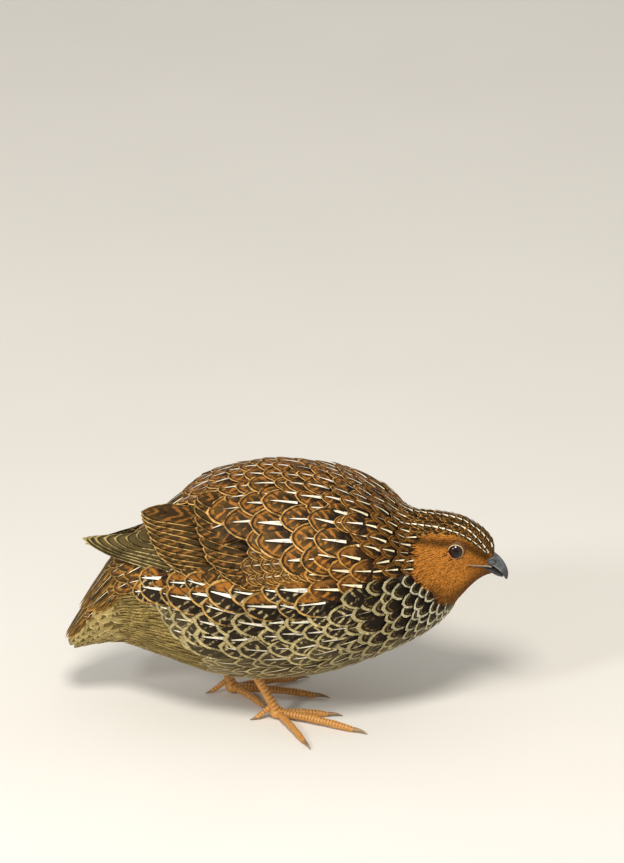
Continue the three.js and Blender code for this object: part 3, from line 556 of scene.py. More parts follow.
# %% Tracts of the body
TRACTS = {
    # outline as (along, turn); lines on each side; spacing in a line and length, both over the distance
    # between lines; half width; how deep the root sits and how far the tip climbs, in millimetres
    "face": dict(
        outline=[(0, 62), (2.9, 64), (10, 49.7), (15.5, 44.2), (20.6, 41.1), (25, 41.1), (27.9, 48.4), (30.3, 61.3),
                 (31.2, 73.5), (30.5, 85), (28.6, 101), (25.6, 123), (23.5, 145), (22, 180), (0, 180)],
        lines=62, spacing=1.25, length=5.4, half=0.7, sink=0.32, climb=0.24, leaf="hair"),
    "crown": dict(
        outline=[(0, 0), (0, 62), (2.9, 64), (10, 49.7), (15.5, 44.2), (20.6, 41.1), (25, 41.1), (27, 45), (28, 30),
            (28, 0)],
        lines=34, spacing=1.2, length=2.7, half=0.7, sink=0.5, climb=0.62, leaf="small"),
    "neck": dict(
        outline=[(28, 0), (28, 30), (27, 45), (27.9, 48.4), (30.3, 61.3), (31.2, 73.5), (33, 75), (40.5, 76),
            (46.9, 74),
                 (47.2, 67.4), (52, 58), (50, 40), (46, 20), (44, 0)],
        lines=22, spacing=1.45, length=2.7, half=0.95, sink=0.9, climb=1.15, leaf="scale"),
    "mantle": dict(
        outline=[(44, 0), (46, 20), (50, 42), (59.6, 36), (72, 33), (85.4, 31), (96.8, 29), (107, 30), (114.2, 30),
            (124, 18), (128, 0)],
        lines=21, spacing=1.25, length=2.5, half=0.98, sink=1.3, climb=1.9, leaf="scale"),
    "scapulars": dict(
        outline=[(50, 42), (52, 58), (55.3, 63), (65.7, 65), (74, 64.5), (82.2, 62.5), (91.5, 60), (100.6, 54.5),
            (104.5, 47), (111, 39), (114.5, 30), (107, 28),
                 (96.8, 29), (85.4, 31), (72, 33), (59.6, 36)],
        lines=17, spacing=1.35, length=2.4, half=1.02, sink=0.9, climb=2.4, leaf="scale"),
    "rump": dict(
        outline=[(128, 0), (124, 20), (114.2, 35), (102, 51), (104, 64), (139, 62), (139.9, 70), (152, 74),
            (160, 66), (170, 60), (170, 0)],
        lines=15, spacing=1.35, length=2.7, half=0.8, sink=1.3, climb=1.8, leaf="scale"),
    "under_wing": dict(
        outline=[(52, 58), (67.5, 64.5), (88.3, 62.5), (102.1, 51), (104, 64), (139, 62), (120, 74), (84, 76),
            (68, 77), (56, 62)],
        lines=20, spacing=1.5, length=2.4, half=0.8, sink=1.6, climb=1.2, leaf="scale"),
    "breast_side": dict(
        outline=[(52, 58), (47.2, 67.4), (47.2, 75.3), (54, 85.7), (63.3, 88.2), (68.5, 88), (68.5, 76), (66, 63)],
        lines=20, spacing=1.35, length=2.4, half=1.0, sink=0.9, climb=2.1, slant=12, leaf="scale"),
    "breast": dict(
        outline=[(31.2, 73.5), (30.5, 85), (28.6, 101), (25.6, 123), (23.5, 145), (22, 180), (58, 180), (57.3, 152),
            (69.7, 133),
                 (64, 117.5), (56.2, 101.6), (50.7, 86.3), (47.2, 75.3), (40.5, 76)],
        lines=21, spacing=1.3, length=2.4, half=1.0, sink=1.2, climb=1.8, leaf="scale"),
    "flank_row": dict(
        outline=[(68.5, 76), (68.5, 90), (84.8, 90), (102.7, 89.4), (121.1, 85.7), (135.3, 79), (142, 72),
            (140, 62), (120.9, 72), (101.8, 74), (83, 75)],
        lines=20, spacing=1.4, length=2.4, half=1.02, sink=0.2, climb=2.5, slant=13, leaf="scale"),
    "flank": dict(
        outline=[(50.7, 86.3), (56.2, 101.6), (64, 117.5), (69.7, 133), (83.2, 127), (99.8, 122), (117, 122.4),
            (122.6, 114),
                 (130.6, 97), (136.6, 79), (135.3, 79), (121.1, 85.7), (102.7, 89.4), (84.8, 90), (68.5, 90),
                     (63.3, 88.2), (54, 85.7)],
        lines=20, spacing=1.4, length=2.4, half=1.0, sink=1.0, climb=2.3, slant=8, leaf="scale"),
    "belly": dict(
        outline=[(57.3, 152), (58, 180), (118, 180), (116, 150), (117, 122.4), (99.8, 122), (83.2, 127),
            (69.7, 133)],
        lines=22, spacing=1.2, length=2.7, half=0.7, sink=1.2, climb=1.9, leaf="scale"),
    "vent": dict(
        outline=[(118, 180), (116, 150), (117, 122.4), (122.6, 114), (130.6, 97), (136.6, 79), (142, 72), (152, 76),
            (152, 180)],
        lines=50, spacing=1.5, length=5.0, half=0.5, sink=1.2, climb=2.0, uneven=0.06, leaf="hair"),
    "undertail": dict(
        outline=[(152, 76), (160, 70), (172, 66), (180, 75), (180, 180), (152, 180)],
        lines=13, spacing=1.4, length=2.4, half=0.95, sink=1.2, climb=1.6, uneven=0.03, leaf="scale"),
}


def inside_outline(outline, a, t):
    """Which of the spots lie inside a closed outline, by counting the sides that a ray crosses."""
    xs, ys = np.array(outline, float).T
    hit = np.zeros(np.shape(a), bool)
    for x0, y0, x1, y1 in zip(xs, ys, np.roll(xs, -1), np.roll(ys, -1)):
        if y0 != y1:
            crosses = ((y0 > t) != (y1 > t)) & (a < (x1 - x0) * (t - y0) / (y1 - y0) + x0)
            hit ^= crosses
    return hit


def chosen(feathers, keep):
    return {k: v[keep] for k, v in feathers.items()}


def feather_lines(lines, spacing, length, half, sink, climb, outline, seed=5, uneven=0.09, tilt=0.05, slant=0.0):
    """Roots in lines from head to tail over one tract, on both sides of the bird. Odd lines lie half a feather back."""
    dice = np.random.default_rng(seed)
    between = half_rounds / lines
    number = np.concatenate([[0], np.cumsum(1 / np.maximum(spacing * between, 0.3))])[:-1]
    found = []
    for line in range(lines + 1):
        rows = np.interp(np.arange((line % 2) * 0.5, number[-1], 1.0), number, table_alongs)
        for side in (-1, 1) if 0 < line < lines else (1,):
            slip = dice.normal(0, uneven, (len(rows), 3))
            gap = half_round(rows) / lines
            found += list(zip(np.maximum(rows + slip[:, 0] * gap, 0.05),
                np.clip((line + slip[:, 1]) / lines, 0.0, 1.0), [side] * len(rows), gap * (1 + slip[:, 2])))
    along, share, side, gap = np.array(found).T
    long = gap * spacing * length
    seat = np.minimum(along + 0.6 * long, body_form.length - 0.5)
    seat_turn = turn_at(seat, share)
    keep = inside_outline(outline, seat, np.degrees(seat_turn))
    along, share, side, gap, long, seat, seat_turn = (v[keep] for v in (along, share, side, gap, long, seat,
        seat_turn))
    turn, later = turn_at(along, share), np.minimum(seat + 2.0, body_form.length - 0.3)
    middle, out = body_form.point(seat, seat_turn), body_form.outward(seat, seat_turn)
    ahead = unit(body_form.point(later, turn_at(later, share)) - body_form.point(later - 4.0,
        turn_at(later - 4.0, share)))
    dorsal = unit(body_form.point(seat, seat_turn - 0.05) - middle)
    angle = np.radians(slant + dice.normal(0, 45 * uneven, len(seat)))[:, None]
    ahead = ahead * np.cos(angle) + dorsal * np.sin(angle)
    ahead = unit(ahead - out * np.sum(ahead * out, 1, keepdims=True))
    root = middle - ahead * 0.6 * long[:, None]
    for v in (root, ahead, out, middle):
        v[:, 1] *= side
    n = len(along)
    return dict(
        root=root, ahead=ahead, outward=out, length=long, half=half * gap, sink=np.full(n, -sink),
            climb=np.full(n, climb),
        curl=dice.normal(0, 0.06, n) * climb, tilt=-side * tilt + dice.normal(0, 0.02, n), cup=np.full(n, 0.06),
            hand=-side,
        chance=dice.random(n), tone=dice.normal(0, 1, n), seat=seat, seat_turn=np.degrees(seat_turn), middle=middle,
            side=side,
        uv=np.column_stack([0.01 + 0.6 * along / body_form.length, 0.5 + 0.48 * turn * side / math.pi]))


body_feathers = {}
for number, (name, tract) in enumerate(TRACTS.items()):
    body_feathers[name] = feather_lines(seed=11 + number, **{k: v for k, v in tract.items() if k != "leaf"})
print({k: len(v["root"]) for k, v in body_feathers.items()})

# %% [markdown]
# ## Stripes and patches of the head
# The face isn't one colour: a brown stripe runs from the bill through the eye, the cheek is brighter below
# it, and the chin is brown. The crown carries rows of cream dashes. Each stripe is a line on the unrolled
# body, and a feather takes its strength from its distance to that line.

# %% Strokes on the head
EYE_AT, EYE_RADIUS = np.array([69.6, 6.9, 76.0]), 3.9
CROWN_LINES = [
    [(28, 4), (24.2, 5), (18.9, 8.7), (15.2, 10.5), (10.9, 14.2), (7.7, 19.7), (5.1, 28), (2.1, 36)],
    [(31.9, 29), (26.1, 28), (21.8, 31), (17, 37), (13.6, 41), (9.6, 47.5), (6.7, 57.6), (4, 68)],
    [(15.5, 25), (13.6, 27), (10.6, 32), (7.7, 42), (4.8, 55), (3.4, 65)],
]
EYE_STRIPE = [(27.5, 45), (22.6, 50.3), (18.8, 54.8), (15.1, 55.2), (11.3, 57.6), (7.7, 64.9), (3.5, 79.6)]
CHIN = [(2, 150), (10.4, 146), (18.2, 139), (24.8, 124), (27.6, 104)]
CHEEK = [(24.1, 68.6), (21.9, 84.5), (18.6, 99.8), (12.8, 94.9)]
BROW = [(20.5, 46.5), (15.1, 48.7), (9.6, 54.2), (5, 66)]


def from_stroke(feathers, stroke):
    """The distance of each feather's middle from a line on the body, in millimetres, on its own side."""
    ends = np.array(stroke, float)
    s = np.linspace(0, len(ends) - 1, 60)
    a, t = (np.interp(s, np.arange(len(ends)), ends[:, k]) for k in (0, 1))
    line = body_form.point(a, np.radians(t))
    spots = feathers["middle"] * [1, 1, 1]
    spots[:, 1] = np.abs(spots[:, 1])
    return np.linalg.norm(spots[:, None] - line[None], axis=2).min(1)


def soft(distance, near, far):
    return np.clip((far - distance) / (far - near), 0, 1)


face, crown = body_feathers["face"], body_feathers["crown"]
rear = np.clip((face["seat"] - 24.5) / 5, 0, 1)
dice = np.random.default_rng(7)
face["dusk"] = np.maximum(soft(from_stroke(face, EYE_STRIPE), 0.5, 2.9),
    0.72 * soft(from_stroke(face, CHIN), 2.0, 7.0))
face["dusk"] = np.clip(face["dusk"] + rear * 0.45 * (dice.random(len(rear)) < 0.4) + dice.normal(0, 0.04,
    len(rear)), 0, 1)
face["pale"] = np.maximum(soft(from_stroke(face, CHEEK), 1.5, 6.5), 0.55 * soft(from_stroke(face, BROW), 0.4, 2.0))
crown["mark"] = np.zeros(len(crown["root"]))
tips = face["root"] + face["ahead"] * face["length"][:, None]
on_vane = [face["root"] * (1 - s) + tips * s for s in np.linspace(0.15, 1, 8)]
# Behind and below the eye the cheek is fuller, so the feathers there keep further off the lid.
from_eye = [p[:, [0, 2]] - EYE_AT[[0, 2]] - [0.05, 0.1] for p in on_vane]
clear = np.min([np.hypot(*d.T) - 0.3 * np.clip(-0.7 * d.sum(1) / np.hypot(*d.T), 0, 1) for d in from_eye],
    axis=0) > 2.85
x, z = on_vane[2][:, 0], on_vane[2][:, 2]
at_bill = (x > 82.0) & (z < 70.4 + 0.7 * (x - 82.0)) & (z > 66.4 - 1.0 * (x - 82.0))
body_feathers["face"] = chosen(face, clear & ~at_bill)


def crown_dashes():
    """The feathers that carry the cream dashes, one behind another along each line of the crown."""
    dice, parts = np.random.default_rng(17), []
    for line, stroke in enumerate(CROWN_LINES):
        ends = np.array(stroke, float)
        ends = ends[np.argsort(ends[:, 0])]
        s = np.linspace(ends[0, 0], ends[-1, 0], 200)
        turns = np.radians(np.interp(s, ends[:, 0], ends[:, 1]))
        points = body_form.point(s, turns)
        walk = np.concatenate([[0], np.cumsum(np.linalg.norm(np.diff(points, axis=0), axis=1))])
        at = np.interp(np.arange(0.5 + 0.8 * (line % 2), walk[-1], 2.9), walk, np.arange(200))
        here, after = (np.column_stack([np.interp(at + k, np.arange(200),
            points[:, i]) for i in range(3)]) for k in (0, 8))
        a, t = np.interp(at, np.arange(200), s), np.interp(at, np.arange(200), turns)
        for side in (-1, 1):
            n = len(at)
            flip = np.array([1, side, 1])
            parts.append(dict(
                root=(here - unit(after - here) * 2.6) * flip, ahead=unit(after - here) * flip,
                    outward=body_form.outward(a, t) * flip, length=np.full(n, 4.4),
                half=np.full(n, 1.15), sink=np.full(n, -0.45), climb=np.full(n, 0.85), curl=np.zeros(n),
                    tilt=np.zeros(n),
                cup=np.full(n, 0.1), hand=np.full(n, -side), chance=dice.random(n), tone=dice.normal(0, 0.6, n),
                    mark=np.ones(n),
                seat=a + 2.5, seat_turn=np.degrees(t), middle=here * flip, side=np.full(n, side),
                uv=np.column_stack([0.01 + 0.6 * a / body_form.length, 0.5 + 0.48 * t * side / math.pi])))
    return {k: np.concatenate([p[k] for p in parts]) for k in parts[0]}


body_feathers["crown_dashes"] = crown_dashes()

# %% [markdown]
# ## Fading
# The breast feathers are whitest next to the face, the flank turns grey and soft towards the belly, and the
# marks on the rump are lighter than those on the back.

# %% Fades over the body
breast, flank, belly = (body_feathers[k] for k in ("breast", "flank", "belly"))
breast["pale"] = np.clip((44 - breast["seat"]) / 14, 0, 1)
breast["fade"] = np.clip((breast["seat_turn"] - 125) / 40, 0, 1) * 0.5
flank["fade"] = np.clip((flank["seat_turn"] - 110) / 24, 0, 1) * 0.45 + np.clip((flank["seat"] - 112) / 25, 0,
    1) * 0.5
belly["fade"] = np.clip((belly["seat_turn"] - 132) / 30, 0.1, 0.75) + np.clip((belly["seat"] - 95) / 20, 0, 1) * 0.5
for name in ("mantle", "scapulars", "rump", "neck"):
    dice = np.random.default_rng(23)
    body_feathers[name]["mark"] = np.where(dice.random(len(body_feathers[name]["root"])) < 0.14, 0.3, 1.0)
flank["mark"] = np.clip(1.25 - (flank["seat_turn"] - 95) / 60, 0.3, 1) * np.clip((flank["seat"] - 56) / 12, 0.0, 1)
breast["mark"] = np.clip((breast["seat"] - 50) / 20, 0, 0.4)
print("head feathers:", sum(len(body_feathers[k]["root"]) for k in ("face", "crown", "crown_dashes")))

# %% [markdown]
# ## The legs' sizes
# Each leg has a feathered shin, a bare scaled shank and four toes. The toes spread from the ball of the foot,
# and each has its own turn in the picture.

# %% Sizes of the legs
FEET = [
    dict(name="right", side=-1, x=-2.4, turn=-19, lean=-26, inner=27, middle=0, outer=-42, hind=219),
    dict(name="left", side=1, x=-23.0, turn=-4, lean=-19, inner=-42, middle=0, outer=33, hind=199),
]
TOES = [
    dict(name="inner", length=20.5, thick=1.5, arch=1.2),
    dict(name="middle", length=34.0, thick=1.65, arch=1.5),
    dict(name="outer", length=28.0, thick=1.45, arch=1.2),
]
FOOT_REACH, ANKLE_HEIGHT, SHANK_RADIUS, CLAW_LENGTH = 11.5, 24.0, 2.1, 5.6


def ankle(foot):
    return np.array([ANKLE_HEIGHT * math.tan(math.radians(foot["lean"])), 0.0, ANKLE_HEIGHT])


def shin_form(foot):
    top = ankle(foot)[0]
    rows = [(7, 1.5, 38, 5), (4, 1, 32, 7), (1.4, 0.4, 26, 6)]
    rows = [(foot["x"] + top + dx, FOOT_REACH + dy, z, r, r, -90, 0) for dx, dy, z, r in rows]
    return Form(rows + [(foot["x"] + top * 0.8, FOOT_REACH, 19.2, 3.6, 3.6, -90, 0)])


# %% [markdown]
# ## Colours
# The plumage is drawn with a few pigments: black-brown, rufous, buff and cream. On each feather they lie in
# zones that follow its own outline: a dark middle, a thin pale rim, bands inside the rim and a white wedge
# along the shaft, widest where the feather comes out from under the next one. Painted shade darkens each
# feather's root end where it lies under the next one's tip, and a painted shadow lines the wedge's lower side.
# One shader group draws all of these from the feather's attributes, and each tract's material sets its own
# colours and widths.


# %% Shader helpers
def colour(code):
    """A colour from its usual six-digit code, in the linear values that Blender mixes."""
    parts = [int(code[i : i + 2], 16) / 255 for i in (0, 2, 4)]
    return tuple(p / 12.92 if p <= 0.04045 else ((p + 0.055) / 1.055) ** 2.4 for p in parts) + (1.0,)


class Wiring:
    """Short ways to place and join shader nodes."""

    def __init__(self, tree):
        self.tree = tree

    def add(self, kind, **values):
        return set_up(self.tree.nodes.new(kind), values)

    def plug(self, node, slots, values):
        for slot, value in zip(slots, values):
            if hasattr(value, "is_linked"):
                self.tree.links.new(value, node.inputs[slot])
            elif value is not None:
                node.inputs[slot].default_value = value
        return node

    def math(self, operation, *values, clamp=False):
        return self.plug(self.add("ShaderNodeMath", operation=operation, use_clamp=clamp), range(3),
            values).outputs[0]

    def times(self, first, second):
        return self.math("MULTIPLY", first, second)

    def step(self, value, low, high, up=0.0, to=1.0):
        node = self.add("ShaderNodeMapRange", interpolation_type="SMOOTHSTEP")
        return self.plug(node, range(5), (value, low, high, up, to)).outputs[0]

    def mix(self, share, first, second, blend="MIX"):
        node = self.add("ShaderNodeMix", data_type="RGBA", blend_type=blend)
        return self.plug(node, (0, 6, 7), (share, first, second)).outputs[2]

    def attribute(self, name, what="Fac"):
        return self.add("ShaderNodeAttribute", attribute_name=name).outputs[what]

    def join(self, *values):
        return self.plug(self.add("ShaderNodeCombineXYZ"), range(3), values).outputs[0]

    def noise(self, where, scale, detail=2.0, rough=0.5):
        node = self.add("ShaderNodeTexNoise")
        return self.plug(node, ("Vector", "Scale", "Detail", "Roughness"),
            (where, scale, detail, rough)).outputs["Fac"]


def group(name, inputs, outputs):
    tree = bpy.data.node_groups.new(name, "ShaderNodeTree")
    for label, kind, value in inputs:
        socket = tree.interface.new_socket(label, in_out="INPUT", socket_type="NodeSocket" + kind)
        socket.default_value = value
    for label, kind in outputs:
        tree.interface.new_socket(label, in_out="OUTPUT", socket_type="NodeSocket" + kind)
    wiring = Wiring(tree)
    return tree, wiring, wiring.add("NodeGroupInput").outputs, wiring.add("NodeGroupOutput").inputs


# %% Feather marks
MARKS = [
    ("Middle", "Color", colour("241a10")), ("Vane", "Color", colour("4a2f16")),
    ("Upper", "Color", colour("8a4a1c")),
    ("Band", "Color", colour("a4602a")), ("Bars", "Color", colour("8a5424")), ("Rim", "Color", colour("a0642a")),
    ("Streak", "Color", colour("f0e2bc")), ("Painted shade", "Color", colour("150e08")), ("Line", "Color", colour("120c07")),
    ("Dusk", "Color", colour("5a3414")), ("Fade", "Color", colour("a3946c")), ("Pale", "Color", colour("d8d0b0")),
    ("Middle size", "Float", 0.55), ("Upper amount", "Float", 0.0), ("Upper from", "Float", 0.15),
    ("Band at", "Float", 0.66),
    ("Band width", "Float", 0.16), ("Band strength", "Float", 0.0), ("Rim width", "Float", 0.1),
        ("Rim line", "Float", 0.0),
    ("Ticks", "Float", 0.0), ("Tick count", "Float", 5.5), ("Streak width", "Float", 0.0),
        ("Streak from", "Float", 0.38), ("Streak to", "Float", 0.96),
    ("Bar count", "Float", 3.0), ("Bar width", "Float", 0.3), ("Bar strength", "Float", 0.0),
        ("Bar slant", "Float", 0.0),
    ("Tip from", "Float", 0.5), ("Root to", "Float", 0.5), ("Root strength", "Float", 0.85),
        ("Uneven", "Float", 0.05),
    ("Barb size", "Float", 24.0), ("Barb depth", "Float", 0.5), ("Patch depth", "Float", 0.3),
        ("Tone", "Float", 0.1),
]
marks, w, given, out = group("Feather marks", MARKS, [("Color", "Color"), ("Height", "Float")])
along, across, chance, tone, hand, fade, dusk, pale, mark = (
    w.attribute(k) for k in ("along", "across", "chance", "tone", "hand", "fade", "dusk", "pale", "mark"))
side, low = w.math("ABSOLUTE", across), w.times(across, hand)
past = w.math("DIVIDE", w.math("MAXIMUM", w.math("SUBTRACT", along, given["Tip from"]), 0.0),
    w.math("SUBTRACT", 1.0, given["Tip from"]))
rim = w.math("POWER", w.math("ADD", w.math("POWER", side, 1.75), w.math("POWER", past, 1.75)), 1 / 1.75)

# Barbs leave the shaft forwards, so a spot's lane is where its barb left the shaft.
lane = w.math("SUBTRACT", along, w.times(side, 0.4))
seeded = w.times(chance, 50.0)
barbs = w.noise(w.join(w.times(lane, given["Barb size"]), w.times(across, 1.5), seeded), 1.0, 3.0, 0.62)
patch = w.noise(w.join(w.times(along, 2.4), across, seeded), 2.4, 2.0, 0.5)
wobble = w.math("ADD", w.math("SUBTRACT", barbs, 0.5), w.math("SUBTRACT", patch, 0.5))
edge = w.math("ADD", rim, w.times(wobble, given["Uneven"]))

middle = w.step(edge, w.math("SUBTRACT", given["Middle size"], 0.12), w.math("ADD", given["Middle size"], 0.12))
shade = w.mix(middle, given["Middle"], given["Vane"])
on_upper = w.times(w.step(w.times(low, -1.0), w.math("SUBTRACT", given["Upper from"], 0.05),
    w.math("ADD", given["Upper from"], 0.07)), given["Upper amount"])
shade = w.mix(w.times(on_upper, w.step(patch, 0.25, 0.5)), shade, given["Upper"])
from_band = w.math("ABSOLUTE", w.math("SUBTRACT", w.math("ADD", edge, w.times(w.math("SUBTRACT", patch, 0.5), 0.2)),
    given["Band at"]))
on_band = w.math("SUBTRACT", 1.0,
    w.step(from_band, w.times(given["Band width"], 0.3), w.times(given["Band width"], 0.6)))
broken = w.step(w.noise(w.join(w.times(along, 3.0), w.times(across, 2.2), seeded), 2.0, 1.0), 0.42, 0.52)
shade = w.mix(w.times(w.times(on_band, broken), given["Band strength"]), shade, given["Band"])
wave = w.math("FRACT", w.math("ADD",
    w.times(w.math("SUBTRACT", along, w.times(side, given["Bar slant"])), given["Bar count"]),
        w.times(wobble, 0.8)))
bar = w.math("SUBTRACT", 1.0, w.step(w.math("ABSOLUTE", w.math("SUBTRACT", wave, 0.5)),
    w.times(given["Bar width"], 0.4), w.times(given["Bar width"], 0.6)))
blotch = w.step(w.noise(w.join(w.times(along, 9.0), w.times(across, 2.0), seeded), 1.0, 1.0), 0.38, 0.58)
shade = w.mix(w.times(w.times(bar, blotch), given["Bar strength"]), shade,
    w.mix(on_upper, given["Bars"], given["Middle"]))

pale_rim = w.mix(pale, given["Rim"], given["Pale"])
start = w.math("SUBTRACT", 1.0, given["Rim width"])
on_line = w.times(w.times(w.step(edge, w.math("SUBTRACT", start, 0.16), w.math("SUBTRACT", start, 0.02)),
    w.step(edge, w.math("ADD", start, 0.06), start)), given["Rim line"])
shade = w.mix(on_line, shade, given["Line"])
around = w.math("FRACT", w.math("ADD", w.times(w.math("ARCTAN2", across, past), given["Tick count"]),
    w.times(wobble, 1.1)))
ticks = w.times(w.step(w.math("ABSOLUTE", w.math("SUBTRACT", around, 0.5)), 0.2, 0.1), given["Ticks"])
on_rim = w.times(w.step(edge, w.math("SUBTRACT", start, 0.03), w.math("ADD", start, 0.03)),
    w.math("SUBTRACT", 1.0, ticks))
shade = w.mix(on_rim, shade, pale_rim)
# Painted shade: each feather is darkened from its root up to where the tip of the feather ahead covers it, as the shade
# under that tip.
shade = w.mix(w.times(w.step(w.math("ADD", along, w.times(wobble, 0.12)), w.math("ADD", given["Root to"], 0.05),
    w.math("SUBTRACT", given["Root to"], 0.12)), given["Root strength"]), shade, given["Painted shade"])

span = w.math("DIVIDE", w.math("SUBTRACT", along, given["Streak from"]),
    w.math("SUBTRACT", given["Streak to"], given["Streak from"]), clamp=True)
wide = w.times(w.times(given["Streak width"], w.math("POWER", w.math("SUBTRACT", 1.0, span), 0.75)),
    w.math("ADD", 0.5, chance))
wide = w.times(w.times(wide, w.math("GREATER_THAN", span, 0.0)), mark)
shown = w.step(wide, 0.004, 0.02)
# Painted shadow: a strip along the lower side of the white streak is darkened in the Line colour.
shadow = w.times(w.step(low, w.math("ADD", wide, 0.12), w.math("ADD", wide, 0.04)),
    w.math("GREATER_THAN", low, 0.0))
shade = w.mix(w.times(w.times(shadow, shown), 0.85), shade, given["Line"])
streak = w.times(w.step(side, w.math("ADD", wide, 0.012), w.times(wide, 0.8)), shown)
dark = w.mix(w.times(dusk, w.math("SUBTRACT", 1.15, w.times(barbs, 0.3))), shade, given["Dusk"])
soft_fade = w.mix(w.math("MINIMUM", w.times(fade, w.math("ADD", 0.55, w.times(barbs, 0.5))), 0.92), dark,
    given["Fade"])
shade = w.mix(streak, soft_fade, given["Streak"])
grain = w.math("ADD", w.times(w.math("SUBTRACT", barbs, 0.5), given["Barb depth"]), w.times(tone, given["Tone"]))
bright = w.math("ADD", 1.0, w.math("ADD", grain, w.times(w.math("SUBTRACT", patch, 0.5), given["Patch depth"])))
w.tree.links.new(w.mix(1.0, shade, w.join(bright, bright, bright), "MULTIPLY"), out["Color"])
w.tree.links.new(w.math("SUBTRACT", barbs, w.times(w.step(side, 0.03, 0.08), 0.3)), out["Height"])


def feather_material(name, roughness=0.6, bump=0.25, **values):
    made = bpy.data.materials.new(name)
    made.use_nodes = True
    wires = Wiring(made.node_tree)
    shader = made.node_tree.nodes["Principled BSDF"]
    part = wires.add("ShaderNodeGroup", node_tree=marks)
    for key, value in values.items():
        label = key.replace("_", " ").capitalize()
        part.inputs[label].default_value = colour(value) if isinstance(value, str) else value
    raised = wires.add("ShaderNodeBump")
    raised.inputs["Strength"].default_value = bump
    raised.inputs["Distance"].default_value = 0.0001
    made.node_tree.links.new(part.outputs["Color"], shader.inputs["Base Color"])
    made.node_tree.links.new(part.outputs["Height"], raised.inputs["Height"])
    made.node_tree.links.new(raised.outputs["Normal"], shader.inputs["Normal"])
    shader.inputs["Roughness"].default_value = roughness
    shader.inputs["Specular IOR Level"].default_value = 0.1
    return made


